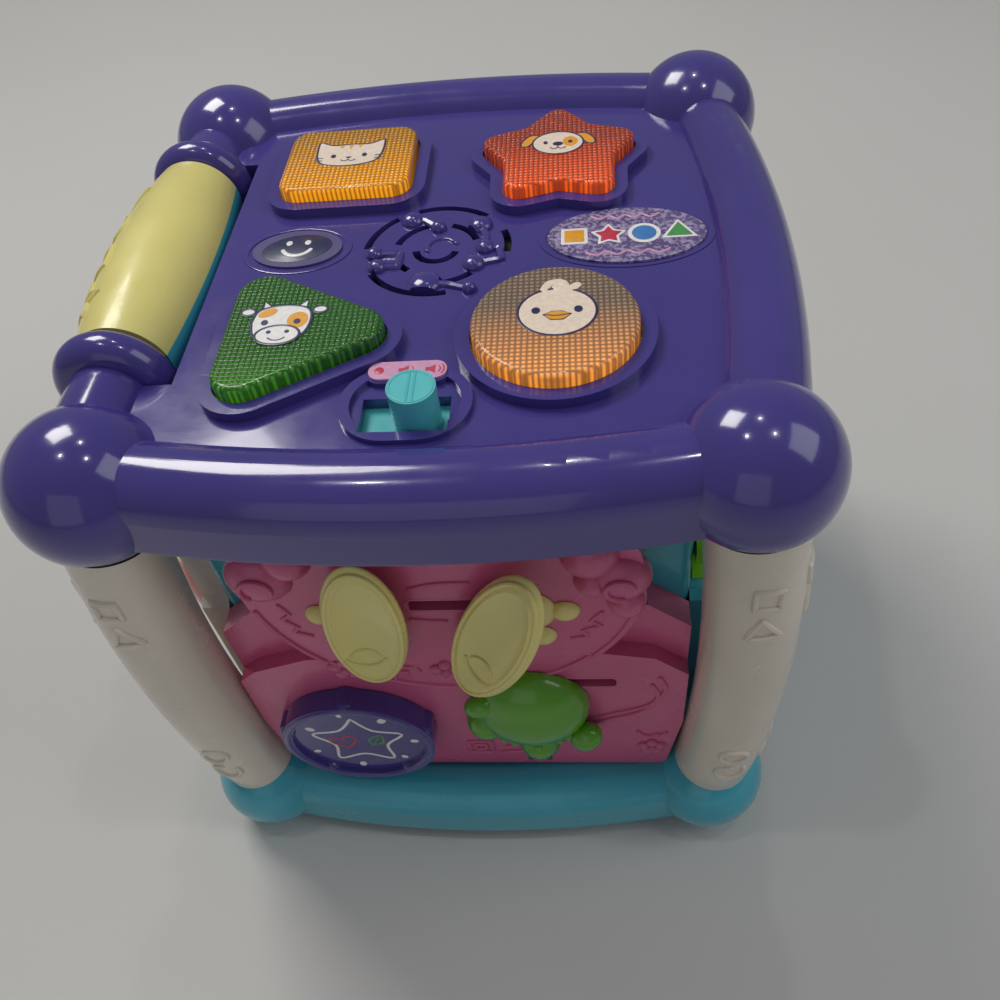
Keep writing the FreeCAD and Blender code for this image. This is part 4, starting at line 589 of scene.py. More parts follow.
    def finish(self, body: str, finish: Finish) -> bpy.types.Object:
        """Close the piece, give it its finish and let it ride on a body."""
        bmesh.ops.remove_doubles(self.mesh, verts=self.mesh.verts, dist=1e-4)
        bmesh.ops.recalc_face_normals(self.mesh, faces=self.mesh.faces)
        bmesh.ops.transform(self.mesh, matrix=self.base, verts=self.mesh.verts)
        data = bpy.data.meshes.new(self.name)
        self.mesh.to_mesh(data)
        self.mesh.free()
        data.polygons.foreach_set("use_smooth", [True] * len(data.polygons))
        data.set_sharp_from_angle(angle=math.radians(38))
        data.materials.append(finish.material())
        piece = bpy.data.objects.new(self.name, data)
        bpy.context.scene.collection.objects.link(piece)
        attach(piece, body)
        LOG.info("%s: %d faces, rides on %s", self.name, len(data.polygons), body)
        return piece


def dress(finish: Finish, *nodes: str) -> None:
    """Give CAD nodes a finish."""
    for name in nodes:
        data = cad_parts[name].data
        data.materials.clear()
        data.materials.append(finish.material())


# ---------------------------------------------------------------- top


@dataclass
class Housing:
    """The purple top with its trim, posts, base, core and what is inside."""

    deck: float = 150.0
    note_lines: tuple[Line, ...] = (
        [(-14, -1.2), (-8, -1.5), (-8.2, -6), (-12.8, -6.1)],
        [(8.9, -6.5), (15, -5.2), (14.2, -1.2), (11.2, -0.8)],
        [(9.6, 8.2), (11, 4), (11.2, -0.8)],
        [(-6.6, 11.6), (-3.5, 11.2), (-0.1, 7.9)],
        [(-1.4, -12.5), (4, -13.6), (8.5, -15.4)],
    )

    def dress(self) -> None:
        """Finish every fixed CAD node."""
        dress(PURPLE, "top_shell")
        dress(LILAC, "top_trim", "housing_floor")
        dress(CREAM, *(f"post_{place}" for place in ("front_left", "front_right", "rear_left", "rear_right")))
        dress(TEAL, "base_shell", "base_cover", "battery_door", "right_panel", "roller_inner", "core_frame")
        dress(FOOT, *(f"foot_{place}" for place in ("front_left", "front_right", "rear_left", "rear_right")))
        dress(WHITE, "left_panel", "turtle_guide", "dial_shaft", "gear_small_pin")
        dress(STEEL, "door_screw", "cover_screws", "battery_contacts", "roller_axle", "spinner_pin")
        dress(CELL, "batteries")
        dress(BOARD, "circuit_board")
        dress(PAD, "key_pads")
        dress(LAMP, "lamps")
        dress(CONE, "speaker")
        dress(CHARCOAL, "motion_sensor", "switch_body")
        dress(PINK, "front_panel", "front_disc")
        dress(YELLOW, "left_wing_hinge", "right_wing_hinge")
        dress(GREEN, "rear_panel")

    def notes(self) -> None:
        """Stems and beams that join the raised note heads round the sound slots."""
        piece = Moulding("sound_note_stems")
        for line in self.note_lines:
            piece.bead(dense(line), 1.0, self.deck + 0.1, 0.9)
        piece.bead(arc(3.4, 200, 20, 1.2, 0.6), 0.75, self.deck, 0.8)
        piece.finish("housing", PURPLE)

    def shell_lines(self) -> None:
        """Fine raised outlines round the two oval plates."""
        piece = Moulding("deck_outline_beads")
        piece.hoop(1, 0.04, (42.5, 1.2, self.deck + 0.15), stretch=(18.6, 11.2))
        piece.hoop(1, 0.055, (-32.6, 2.5, self.deck + 0.15), stretch=(12.2, 8.6))
        piece.finish("housing", PURPLE)

    def build(self) -> None:
        """Make everything of the housing."""
        self.dress()
        self.notes()
        self.shell_lines()


@dataclass
class Labels:
    """Printed plates on the deck, with plain pictures only."""

    level: float = 150.5
    film: float = 0.06

    def name_plate(self) -> None:
        """Sparkling oval with a row of four coloured shapes."""
        dress(FOIL, "name_plate")
        outlines = (
            (AMBER_INK, "square", polygon_line(3.1, 4, 45), 31.0),
            (RED_INK, "star", star_line(3.2, 1.7), 38.6),
            (BLUE_INK, "circle", polygon_line(2.7, 24), 46.4),
            (GREEN_INK, "triangle", polygon_line(3.4, 3), 54.0),
        )
        backing = Moulding("name_plate_shape_backs")
        for _, _, line, across in outlines:
            backing.plate(moved(line, across, 1.2, size=1.35), self.level, self.level + self.film, 0.02, 0.5)
        backing.finish("housing", WHITE_INK)
        for ink, label, line, across in outlines:
            piece = Moulding(f"name_plate_{label}")
            top = self.level + 2 * self.film
            piece.plate(moved(line, across, 1.2), self.level + self.film / 2, top, 0.02, 0.3)
            piece.finish("housing", ink)
        waves = Moulding("name_plate_waves")
        for up, reach in ((8.0, 7.5), (-5.6, 9.0)):
            line = flowing([(42.5 + reach * step / 4, up + 0.6 * (-1) ** step) for step in range(-4, 5)])
            waves.bead(line, 0.32, self.level + 0.02, 0.35)
        waves.finish("housing", PINK_INK)

    def badge(self) -> None:
        """Navy oval with a plain white smile and two dots."""
        dress(LILAC, "badge_plate")
        piece = Moulding("badge_field")
        piece.disc(8.2, self.level, self.level + self.film, (-32.6, 2.5), 0.02, stretch=(1, 0.62), spin=8)
        piece.finish("housing", NAVY_INK)
        marks = Moulding("badge_marks")
        marks.bead(arc(3.6, 205, 335, -32.6, 3.4), 0.5, self.level + self.film, 0.2)
        for across in (-34.8, -30.4):
            marks.egg((0.75, 0.9, 0.12), (across, 4.6, self.level + self.film))
        marks.finish("housing", WHITE_INK)

    def volume(self) -> None:
        """Pink pill with a dot and two horns of growing loudness."""
        dress(PINK_INK, "volume_label")
        piece = Moulding("volume_marks")
        level = 151.72
        piece.disc(0.95, level - 0.02, level + self.film, (-7.4, -42), 0.02, count=24)
        for across, waves in ((-2.2, 1), (3.1, 2)):
            horn = [(-1.3, -0.45), (-0.4, -0.45), (0.6, -1.15), (0.6, 1.15), (-0.4, 0.45), (-1.3, 0.45)]
            piece.plate(moved(horn, across, -42), level - 0.02, level + self.film, 0.0)
            for wave in range(waves):
                piece.bead(arc(1.2 + 0.75 * wave, -42, 42, across + 0.4, -42, 8), 0.14, level, 0.4)
        piece.finish("housing", RED_INK)

    def build(self) -> None:
        """Make the three labels."""
        self.name_plate()
        self.badge()
        self.volume()


@dataclass
class Switch:
    """Sliding volume switch."""

    spot: Point = (1.0, -53.2)
    top: float = 157.6
    radius: float = 4.65

    def build(self) -> None:
        """Finish the knob and give it its top groove's raised lips."""
        dress(AQUA, "switch_knob")
        piece = Moulding("switch_knob_ridge")
        across, up = self.spot
        for side in (-0.55, 0.55):
            reach = self.radius * 0.8
            piece.bead([(across + side, up - reach), (across + side, up + reach)], 0.28, self.top - 0.05, 0.9)
        piece.hoop(self.radius - 0.5, 0.22, (across, up, self.top - 0.08))
        piece.finish("switch", AQUA)


class Shape(Enum):
    """Outlines of the four light-up buttons."""

    SQUARE = "square"
    STAR = "star"
    CIRCLE = "circle"
    TRIANGLE = "triangle"


@dataclass
class Button:
    """A light-up button: its lens and the faceted sheet inside it; the print on it is drawn as a Face."""

    shape: Shape
    centre: Point
    lens: Finish
    prism: Finish
    inner_level: float = 152.3
    pitch: float = 1.55

    def body(self) -> str:
        """The CAD body that the button is."""
        return f"button_{self.shape.value}"

    def inside(self, across: float, up: float) -> bool:
        """Whether a spot is inside the lens's walls."""
        x, y = across - self.centre[0], up - self.centre[1]
        if self.shape is Shape.SQUARE:
            corner = math.hypot(max(abs(x) - 10.4, 0), max(abs(y) - 8.4, 0))
            return abs(x) < 13.6 and abs(y) < 11.6 and corner < 3.2
        if self.shape is Shape.CIRCLE:
            return math.hypot(x, y) < 14.2
        if self.shape is Shape.STAR:
            swing = (math.degrees(math.atan2(y, x)) - 90) % 72
            swing = min(swing, 72 - swing) / 36
            return math.hypot(x, y) < 15.6 * (1 - swing) + 11.0 * swing
        return all(
            x * math.cos(turn) + y * math.sin(turn) < 10.6 for turn in (math.pi / 3, math.pi, -math.pi / 3)
        ) and math.hypot(x, y) < 16.5

    def build(self) -> None:
        """Make the faceted sheet and finish the lens."""
        dress(self.lens, f"lens_{self.shape.value}")
        piece = Moulding(f"{self.shape.value}_facets")
        piece.facets(self.centre, (18, 18), self.inner_level, self.pitch, 0.55, self.inside)
        piece.finish(self.body(), self.prism)


@dataclass
class Face:
    """A printed animal face on a button, in layers of ink."""

    label: str
    body: str
    centre: Point
    size: float = 1.0
    level: float = 155.4
    film: float = 0.05
    layers: dict[Finish, Moulding] = field(default_factory=dict)

    def layer(self, ink: Finish) -> Moulding:
        """The layer of one ink, made the first time it is asked for."""
        if ink not in self.layers:
            self.layers[ink] = Moulding(f"{self.label}_{ink.name.replace(' ', '_')}")
        return self.layers[ink]

    def spot(self, across: float, up: float) -> Point:
        """A point of the face on the deck."""
        return (self.centre[0] + across * self.size, self.centre[1] + up * self.size)

    def oval(self, ink: Finish, across: float, up: float, wide: float, high: float, layer: int,
             spin: float = 0.0) -> None:
        """A filled oval."""
        top = self.level + self.film * layer
        self.layer(ink).disc(1.0, self.level - 0.05, top, self.spot(across, up), 0.0,
                             stretch=(wide * self.size, high * self.size), spin=spin, count=40)

    def area(self, ink: Finish, line: Line, layer: int, rounding: float = 0.0) -> None:
        """A filled outline."""
        outline = [self.spot(*point) for point in line]
        self.layer(ink).plate(outline, self.level - 0.05, self.level + self.film * layer, 0.0, rounding)

    def stroke(self, ink: Finish, line: Line, width: float, layer: int) -> None:
        """A drawn line."""
        level = self.level + self.film * (layer - 1)
        self.layer(ink).bead([self.spot(*point) for point in line], width * self.size, level, 0.16)

    def finish(self) -> None:
        """Close every layer."""
        for ink, piece in self.layers.items():
            piece.finish(self.body, ink)


def oval_line(wide: float, high: float, across: float = 0.0, up: float = 0.0) -> Line:
    """Outline of an oval."""
    return [(across + x * wide, up + y * high) for x, y in arc(1, 0, 360, steps=48)]


def draw_cat(face: Face) -> None:
    """Round cat with two pointed ears, three stripes and whiskers."""
    head = flowing(closed([(-8.2, 0), (-8.4, 5.6), (-7.6, 6.2), (-4.6, 4.6), (0, 4.8), (4.6, 4.6),
                           (7.6, 6.2), (8.4, 5.6), (8.2, 0), (6.4, -3.8), (0, -5.2), (-6.4, -3.8)]))
    face.area(CREAM_INK, head[:-1], 1)
    face.stroke(DARK_INK, head, 0.26, 2)
    for across in (-2.3, 0, 2.3):
        high = 1.6 if across else 2.2
        face.area(AMBER_INK, [(across - 0.7, 4.4), (across + 0.7, 4.4), (across, 4.4 - high)], 2, 0.3)
    for across in (-3.9, 3.9):
        face.oval(DARK_INK, across, -0.6, 0.62, 0.75, 3)
        for up in (-1.2, -2.4):
            face.stroke(DARK_INK, [(across * 1.7, up), (across * 2.25, up + 0.3)], 0.16, 3)
    face.area(DARK_INK, [(-0.8, -1.2), (0.8, -1.2), (0, -2)], 3, 0.2)
    face.stroke(DARK_INK, arc(0.9, 200, 340, -0.9, -2.1, 10), 0.15, 3)
    face.stroke(DARK_INK, arc(0.9, 200, 340, 0.9, -2.1, 10), 0.15, 3)
    face.finish()


def draw_dog(face: Face) -> None:
    """Puppy with drooping ears and one patch round an eye."""
    for side in (-1, 1):
        ear = flowing(closed([(side * 4.6, 4.2), (side * 7.4, 4.4), (side * 9.6, 1.6), (side * 9.8, -0.8),
                              (side * 8.0, -0.9), (side * 6.2, 1.6)]))
        face.area(AMBER_INK, ear[:-1], 1)
        face.stroke(DARK_INK, ear, 0.24, 2)
    face.oval(CREAM_INK, 0, 0, 6.8, 5.6, 2)
    face.stroke(DARK_INK, oval_line(6.8, 5.6), 0.26, 3)
    face.oval(AMBER_INK, 3.3, 0.4, 2.0, 2.4, 3)
    for across in (-3.3, 3.3):
        face.oval(DARK_INK, across, 0.2, 0.58, 0.7, 4)
    face.oval(DARK_INK, 0, -0.6, 1.35, 0.9, 4)
    face.stroke(DARK_INK, [(0, -1.2), (0, -2.1)], 0.15, 4)
    face.stroke(DARK_INK, arc(1.0, 195, 345, -1, -2.0, 10), 0.15, 4)
    face.stroke(DARK_INK, arc(1.0, 195, 345, 1, -2.0, 10), 0.15, 4)
    face.finish()


def draw_chick(face: Face) -> None:
    """Chick with a beak and a curl."""
    face.oval(CREAM_INK, 0, -0.4, 7.8, 7.2, 1)
    face.stroke(DARK_INK, oval_line(7.8, 7.2, 0, -0.4), 0.28, 2)
    curl = flowing([(-2.6, 6.6), (-1.6, 8.6), (0.6, 9.0), (1.6, 7.6), (0.4, 6.6), (-0.2, 7.4), (2.2, 6.4),
                    (4.0, 7.8)])
    face.stroke(CREAM_INK, curl, 0.9, 1)
    face.stroke(DARK_INK, curl, 0.24, 2)
    for across in (-4.2, 4.2):
        face.oval(NAVY_INK, across, 0, 0.85, 0.95, 3)
    beak = [(-2.7, -1.4), (-1, -0.5), (1, -0.5), (2.7, -1.4), (1.2, -2.9), (-1.2, -2.9)]
    face.area(AMBER_INK, beak, 3, 0.4)
    face.stroke(DARK_INK, closed(beak), 0.2, 3)
    face.stroke(DARK_INK, flowing([(-2.7, -1.4), (0, -1.8), (2.7, -1.4)]), 0.16, 4)
    face.finish()


def draw_cow(face: Face) -> None:
    """Cow with horns, ears, two patches and a wide muzzle."""
    for side in (-1, 1):
        horn = [(side * 2.4, 5.4), (side * 4.6, 4.6), (side * 4.6, 7.6)]
        face.area(WHITE_INK, horn, 1, 0.4)
        face.stroke(NAVY_INK, closed(horn), 0.26, 2)
        face.oval(WHITE_INK, side * 7.6, 4.4, 1.5, 1.0, 1, spin=side * 15)
        face.stroke(NAVY_INK, oval_line(1.5, 1.0, side * 7.6, 4.4), 0.24, 2)
    head = flowing(closed([(-6.2, 0.6), (-5.4, 4.4), (-2, 5.9), (2, 5.9), (5.4, 4.4), (6.2, 0.6), (4.8, -3.6),
                           (0, -5.4), (-4.8, -3.6)]))
    face.area(WHITE_INK, head[:-1], 2)
    face.stroke(NAVY_INK, head, 0.3, 3)
    face.oval(AMBER_INK, -3.3, 3.8, 2.1, 1.2, 3, spin=28)
    face.oval(AMBER_INK, 3.4, 1.2, 2.2, 2.5, 3)
    face.oval(NAVY_INK, -3.4, 0.7, 0.72, 0.8, 4)
    face.oval(NAVY_INK, 3.4, 0.7, 0.72, 0.8, 4)
    face.oval(WHITE_INK, 0, -3.4, 4.6, 2.9, 5)
    face.stroke(NAVY_INK, oval_line(4.6, 2.9, 0, -3.4), 0.28, 6)
    for across in (-1.9, 1.9):
        face.oval(NAVY_INK, across, -2.5, 0.5, 0.5, 6)
    face.stroke(NAVY_INK, arc(2.2, 220, 320, 0, -2.9, 12), 0.2, 6)
    face.finish()


# ---------------------------------------------------------------- roller and posts


@dataclass
class Roller:
    """Yellow half of the roller with shapes embossed on it."""

    radius: float = 0.55

    def build(self) -> None:
        """Emboss a row of outlines on the roller's outer face."""
        dress(YELLOW, "roller_outer")
        seat = Matrix.Translation((0, 146.8, 64.7)) @ Matrix.Rotation(math.radians(-40), 4, "X")
        piece = Moulding("roller_outlines", Side.LEFT, seat)
        skin = Surface("roller_outer")
        shapes = (
            (closed(polygon_line(4.6, 3)), -20.0),
            (arc(3.9, 0, 360, steps=36), -7.0),
            (closed(polygon_line(5.0, 4, 45)), 6.5),
            (closed(star_line(5.2, 2.7)), 20.0),
        )
        for line, across in shapes:
            piece.bead(moved(line, across, 0), self.radius, skin)
        piece.finish("roller", YELLOW)


@dataclass
class PostMarks:
    """Outlines embossed near both ends of the corner posts."""

    radius: float = 0.75

    def build(self) -> None:
        """Emboss two outlines near each end, on both outer faces of each post."""
        seats = (
            ("front_left", Side.FRONT, -66.5),
            ("front_right", Side.FRONT, 66.5),
            ("front_right", Side.RIGHT, -66.5),
            ("rear_right", Side.RIGHT, 66.5),
            ("rear_right", Side.REAR, -66.5),
            ("rear_left", Side.REAR, 66.5),
            ("rear_left", Side.LEFT, -66.5),
            ("front_left", Side.LEFT, 66.5),
        )
        marks = (
            (closed(polygon_line(3.6, 4, 45)), 119.0),
            (closed(polygon_line(3.9, 3)), 109.0),
            (arc(3.2, 0, 360, steps=30), 51.0),
            (arc(3.6, 70, 360, steps=30), 41.0),
        )
        for place, side, across in seats:
            piece = Moulding(f"post_marks_{place}_{side.name.lower()}", side)
            skin = Surface(f"post_{place}")
            for index, (line, level) in enumerate(marks):
                piece.bead(moved(line, across, level, spin=index * 8.0), self.radius, skin)
            piece.finish("housing", CREAM)


# ---------------------------------------------------------------- front


@dataclass
class Front:
    """Pink front: clouds, curls, speed lines, flowers and steps in relief."""

    skin: Surface = field(default_factory=lambda: Surface("front_panel", "front_disc"))

    def clouds(self) -> None:
        """Round lumps at the disc's upper corners."""
        piece = Moulding("disc_clouds", Side.FRONT)
        lumps = ((-37, 117, 7.5), (-29.5, 123, 5.5), (32.5, 122.5, 6.2), (38.5, 115, 6.8), (40, 106.8, 4.4),
                 (32.8, 114.6, 4.0))
        for across, up, radius in lumps:
            piece.egg((radius, radius, 4.6), (across, up, 65.6))
        piece.bead(arc(3.4, -30, 230, -37, 117), 0.6, 70.0)
        piece.bead(arc(3.0, 20, 280, 38.5, 115), 0.6, 70.0)
        piece.finish("housing", PINK)

    def lines(self) -> None:
        """Speed lines by the wing slot, zigzags and thin ridges."""
        piece = Moulding("disc_lines", Side.FRONT)
        strokes = (
            flowing([(-5.5, 112.6), (0, 114.2), (7, 114.4)]),
            flowing([(-7, 101), (-3, 100.2), (0.6, 100)]),
            [(-35.5, 107), (-33.8, 103.5), (-36, 101.5), (-33.2, 98.2), (-34.6, 96.4), (-31, 94.6)],
            [(34.8, 102.5), (32.4, 99.2), (34.6, 97.4), (30.6, 95.4), (31.6, 93.0), (28.2, 92.2)],
        )
        for line in strokes:
            piece.bead(line, 0.55, self.skin)
        piece.finish("housing", PINK)

    def garden(self) -> None:
        """Flowers, steps, crescents and a square ring on the hill."""
        piece = Moulding("hill_garden", Side.FRONT)
        for across, up, petal in ((-26.5, 78.5, 2.5), (-2.5, 77.5, 2.1), (47.5, 36, 2.0)):
            for turn in range(5):
                spin = math.radians(90 + 72 * turn)
                spot = (across + petal * 1.15 * math.cos(spin), up + petal * 1.15 * math.sin(spin), HILL_FRONT)
                piece.egg((petal * 0.8, petal * 0.8, 1.2), spot, count=16)
            piece.egg((petal * 0.6, petal * 0.6, 1.7), (across, up, HILL_FRONT), count=16)
        steps = [(-9.5, 74), (-9.5, 79), (-6.2, 79), (-6.2, 76.4)]
        walls = (
            moved(steps, 14.5, 3.5), moved(steps, -6, -2), closed(moved(polygon_line(4.4, 4, 45), 1.5, 36)),
            closed(moved(polygon_line(1.9, 4, 45), 1.5, 36)), arc(4.0, 200, 330, 47.5, 46),
            arc(2.4, 200, 330, 46.5, 44.5), arc(3.2, 20, 160, -12, 76),
        )
        for line in walls:
            piece.bead(line, 0.6, self.skin)
        piece.finish("housing", PINK)

    def river(self) -> None:
        """Two wavy banks that run from under the turtle up to the right."""
        piece = Moulding("hill_river", Side.FRONT)
        middle = flowing([(47.5, 71), (49, 65), (45, 57.5), (36, 53), (29, 49), (25, 42), (19, 36.5),
                          (8, 34.5)])
        for side in (-1.7, 1.7):
            piece.bead([(x + side * 0.5, y + side) for x, y in middle], 0.65, self.skin)
        piece.finish("housing", PINK)

    def rims(self) -> None:
        """Rounded lips on the disc's and the hill's edges, and round both slots."""
        piece = Moulding("front_lips", Side.FRONT)
        piece.bead(arc(42.4, 190, 350, 0.5, 112, 90), 0.7, self.skin)
        slots = ((-7.0, 16.0, 106, 1.8, DISC_FRONT), (13.5, 38, 70.5, 1.8, HILL_FRONT))
        for low, high, level, half, face in slots:
            reach = half + 0.6
            ends = [*arc(reach, 90, 270, low + half, level, 14), *arc(reach, -90, 90, high - half, level, 14)]
            piece.bead(closed(ends), 0.35, face, 0.35)
        piece.finish("housing", PINK)

    def build(self) -> None:
        """Make all the reliefs."""
        self.clouds()
        self.lines()
        self.garden()
        self.river()
        self.rims()


@dataclass
class Wing:
    """A fluttering wing: its finish, and a raised rim and veins on its dish."""

    which: str
    hinge: Point
    lean: float
    turned: float
    way: int

    def seat(self) -> Matrix:
        """Turn and place of the wing's own axes on the front."""
        lean = Matrix.Rotation(math.radians(-self.lean), 4, "Z")
        swing = Matrix.Rotation(math.radians(-self.turned), 4, "Y")
        return Matrix.Translation((*self.hinge, WING_HINGE_OUT)) @ lean @ swing

    def build(self) -> None:
        """Finish the wing and lay its rim."""
        name = f"{self.which}_wing"
        dress(YELLOW, name)
        piece = Moulding(f"{name}_rim", Side.FRONT, self.seat())
        skin = Surface(name)
        middle = self.way * 5.0
        piece.bead(oval_line(7.9, 20.8, middle, 0), 0.55, skin)
        piece.bead(arc(4.6, 200, 340, middle + self.way, -9.5), 0.45, skin)
        piece.bead(arc(3.4, 20, 160, middle + self.way, -11.5), 0.4, skin)
        piece.finish(name, YELLOW)


@dataclass
class Turtle:
    """Green turtle: shell ridges, feet and a tail."""

    centre: Point = (17.0, 58.0)

    def build(self) -> None:
        """Finish the turtle and add what stands out of its shell."""
        dress(GREEN, "turtle")
        piece = Moulding("turtle_lumps", Side.FRONT)
        across, up = self.centre
        piece.egg((4.2, 4.6, 3.6), (across + 13.2, up - 7.5, 70.2), spin=-30)
        piece.egg((4.0, 3.0, 3.0), (across - 12.6, up + 8.4, 69.8), spin=25)
        skin = Surface("turtle")
        for step in range(7):
            turn = math.radians(232 + 14 * step)
            spot = (across + 12.4 * math.cos(turn), up + 3 + 13.2 * math.sin(turn))
            reach = piece.drape([spot, (spot[0] + 0.1, spot[1])], skin)[0]
            piece.egg((1.25, 1.25, 1.0), reach, count=14)
        piece.finish("turtle", GREEN)
        eyes = Moulding("turtle_eyes", Side.FRONT)
        for side in (-2.4, 2.4):
            reach = eyes.drape([(across + 1 + side, up - 17.5), (across + 1.1 + side, up - 17.5)], skin)[0]
            eyes.egg((0.9, 1.1, 0.5), reach, count=14)
        eyes.finish("turtle", DARK_INK)


@dataclass
class Dial:
    """Purple clicking dial with a printed star."""

    centre: Point = (-29.0, 49.0)
    face_out: float = 70.8
    rim_out: float = 72.0

    def build(self) -> None:
        """Finish the dial, its rim and its print."""
        dress(PURPLE, "dial")
        across, up = self.centre
        rim = Moulding("dial_rim", Side.FRONT)
        rim.hoop(18.7, 1.1, (across, up, self.rim_out - 0.5))
        for turn in range(5):
            spin = math.radians(90 + 72 * turn)
            spot = (across + 18.6 * math.cos(spin), up + 18.6 * math.sin(spin), self.rim_out - 1.4)
            rim.egg((2.6, 1.9, 1.9), spot, spin=math.degrees(spin) + 90, count=20)
        rim.finish("dial", PURPLE)
        star = Moulding("dial_star", Side.FRONT)
        outline = flowing(closed(moved(star_line(12.4, 7.4), across, up)), 5)
        star.bead(outline, 0.42, self.face_out, 0.3)
        dots = ((0, 14.6, 0.9), (55, 13.8, 1.1), (100, 14.4, 0.7), (150, 13.6, 1.0), (205, 14.2, 0.8),
                (262, 14, 1.0), (318, 14, 0.8))
        for turn, reach, radius in dots:
            spin = math.radians(turn)
            star.egg((radius * 1.3, radius, 0.15),
                     (across + reach * math.cos(spin), up + reach * math.sin(spin), self.face_out), spin=turn)
        star.finish("dial", WHITE_INK)
        heart = flowing(closed([(0, -3.4), (-3.4, 0.2), (-2.8, 2.6), (-1.1, 2.7), (0, 1.2), (1.1, 2.7),
                                (2.8, 2.6), (3.4, 0.2)]), 4)
        red = Moulding("dial_heart", Side.FRONT)
        red.bead(moved(heart, across - 4.2, up - 0.4, 10), 0.36, self.face_out, 0.35)
        red.finish("dial", RED_INK)
        leaf = flowing(closed([(0, -3.2), (-1.9, -0.4), (0, 3.2), (1.9, -0.4)]), 5)
        green = Moulding("dial_leaf", Side.FRONT)
        green.bead(moved(leaf, across + 4.6, up + 0.4, -28), 0.36, self.face_out, 0.35)
        green.bead(moved([(0, -3.2), (0, 1.6)], across + 4.6, up + 0.4, -28), 0.22, self.face_out, 0.4)
        green.finish("dial", GREEN_INK)


# ---------------------------------------------------------------- other sides


@dataclass
class Gears:
    """Two meshing gears on the teal side, with ridges on their faces."""

    large: Point = (-28.5, 104.5)
    small: Point = (0.0765, 75.923)
    out: float = 60.8

    def build(self) -> None:
        """Finish the gears and lay their rings and spokes."""
        dress(LIME, "gear_large")
        dress(YELLOW, "gear_small")
        dress(RED, "gear_large_pin")
        for name, spot, finish, reach, spokes in (
            ("gear_large", self.large, LIME, 19.0, 6),
            ("gear_small", self.small, YELLOW, 11.6, 4),
        ):
            piece = Moulding(f"{name}_ridges", Side.RIGHT)
            piece.hoop(reach, 0.8, (*spot, self.out))
            piece.hoop(6.9, 0.7, (*spot, self.out))
            for turn in range(spokes):
                spin = math.radians(360 * turn / spokes)
                rim, way = (7.2, reach - 0.4), (math.cos(spin), math.sin(spin))
                ends = [(spot[0] + far * way[0], spot[1] + far * way[1]) for far in rim]
                piece.bead(ends, 0.7, self.out, ends=False)
            piece.finish(name, finish)

    def wall(self) -> None:
        """Steps and a sun in relief on the teal side."""
        skin = Surface("right_panel")
        piece = Moulding("right_reliefs", Side.RIGHT)
        stairs = [(-46, 34), (-46, 42), (-36, 42), (-36, 50), (-26, 50), (-26, 58), (-16, 58)]
        piece.bead(stairs, 0.9, skin)
        piece.bead(moved(stairs, 0, -6), 0.7, skin)
        piece.bead(arc(7, 0, 360, 32, 44, 40), 0.9, skin)
        for turn in range(8):
            ray = [(9.5, 0), (12.5, 0)]
            piece.bead(moved(ray, 32, 44, 45 * turn + 10), 0.8, skin)
        piece.bead(flowing([(-30, 30), (-20, 33), (-8, 29.5), (6, 33), (20, 29.5)]), 0.8, skin)
        piece.finish("housing", TEAL)


@dataclass
class Spinner:
    """Red drum between a white cone and a grey-violet cap, on the left side."""

    spot: Point = (-60.5, -37.0)

    def build(self) -> None:
        """Finish the three parts and lay rings and stars on the drum."""
        dress(RED, "spinner_drum")
        dress(WHITE, "spinner_cone")
        dress(LILAC, "spinner_cap")
        rings = Moulding("spinner_rings")
        for level, radius in ((69.0, 10.35), (95.0, 10.35)):
            rings.hoop(radius, 0.7, (*self.spot, level))
        rings.finish("spinner", YELLOW)
        for index in range(4):
            turn = Matrix.Rotation(math.radians(90 * index), 4, "Z")
            seat = Matrix.Translation((*self.spot, 0)) @ turn @ Side.FRONT.turn()
            piece = Moulding(f"spinner_star_{index}", Side.TOP, seat)
            piece.bead(closed(moved(star_line(4.6, 2.4), 0, 82)), 0.5, Surface("spinner_drum"))
            piece.finish("spinner", WHITE)


@dataclass
class LeftWall:
    """White side round the spinner, with clouds and rain in relief."""

    def build(self) -> None:
        """Lay the reliefs."""
        skin = Surface("left_panel")
        piece = Moulding("left_reliefs", Side.LEFT)
        cloud = [*arc(7, 180, 90, -25, 78, 10), *arc(9, 150, 30, -14, 84, 16), *arc(7, 90, -10, -4, 79, 12)]
        piece.bead(closed(cloud), 0.9, skin)
        for across in (-24, -16, -8):
            piece.bead([(across, 70), (across - 2, 64)], 0.9, skin)
        piece.bead(closed(moved(star_line(7, 3.6), -22, 46)), 0.8, skin)
        piece.bead(arc(6, 0, 360, 2, 42, 36), 0.8, skin)
        piece.bead(arc(2.6, 0, 360, 2, 42, 24), 0.7, skin)
        piece.finish("housing", WHITE)


@dataclass
class Rear:
    """Green rear side with a big flower, waves and hearts in relief."""

    def build(self) -> None:
        """Lay the reliefs."""
        skin = Surface("rear_panel")
        piece = Moulding("rear_reliefs", Side.REAR)
        piece.bead(arc(8, 0, 360, 0, 66, 40), 1.0, skin)
        for turn in range(6):
            spin = math.radians(60 * turn)
            spot = (15.5 * math.cos(spin), 66 + 15.5 * math.sin(spin))
            piece.bead(arc(6.4, 0, 360, *spot, 30), 0.9, skin)
        for level in (34, 40):
            wave = flowing([(-44 + 8 * step, level + 1.8 * (-1) ** step) for step in range(12)])
            piece.bead(wave, 0.8, skin)
        heart = flowing(closed([(0, -5), (-5, 0.3), (-4.2, 3.9), (-1.6, 4.1), (0, 1.8), (1.6, 4.1),
                                (4.2, 3.9), (5, 0.3)]), 4)
        for across, up in ((-36, 80), (36, 80), (-38, 54), (38, 54)):
            piece.bead(moved(heart, across, up), 0.8, skin)
        piece.finish("housing", GREEN)


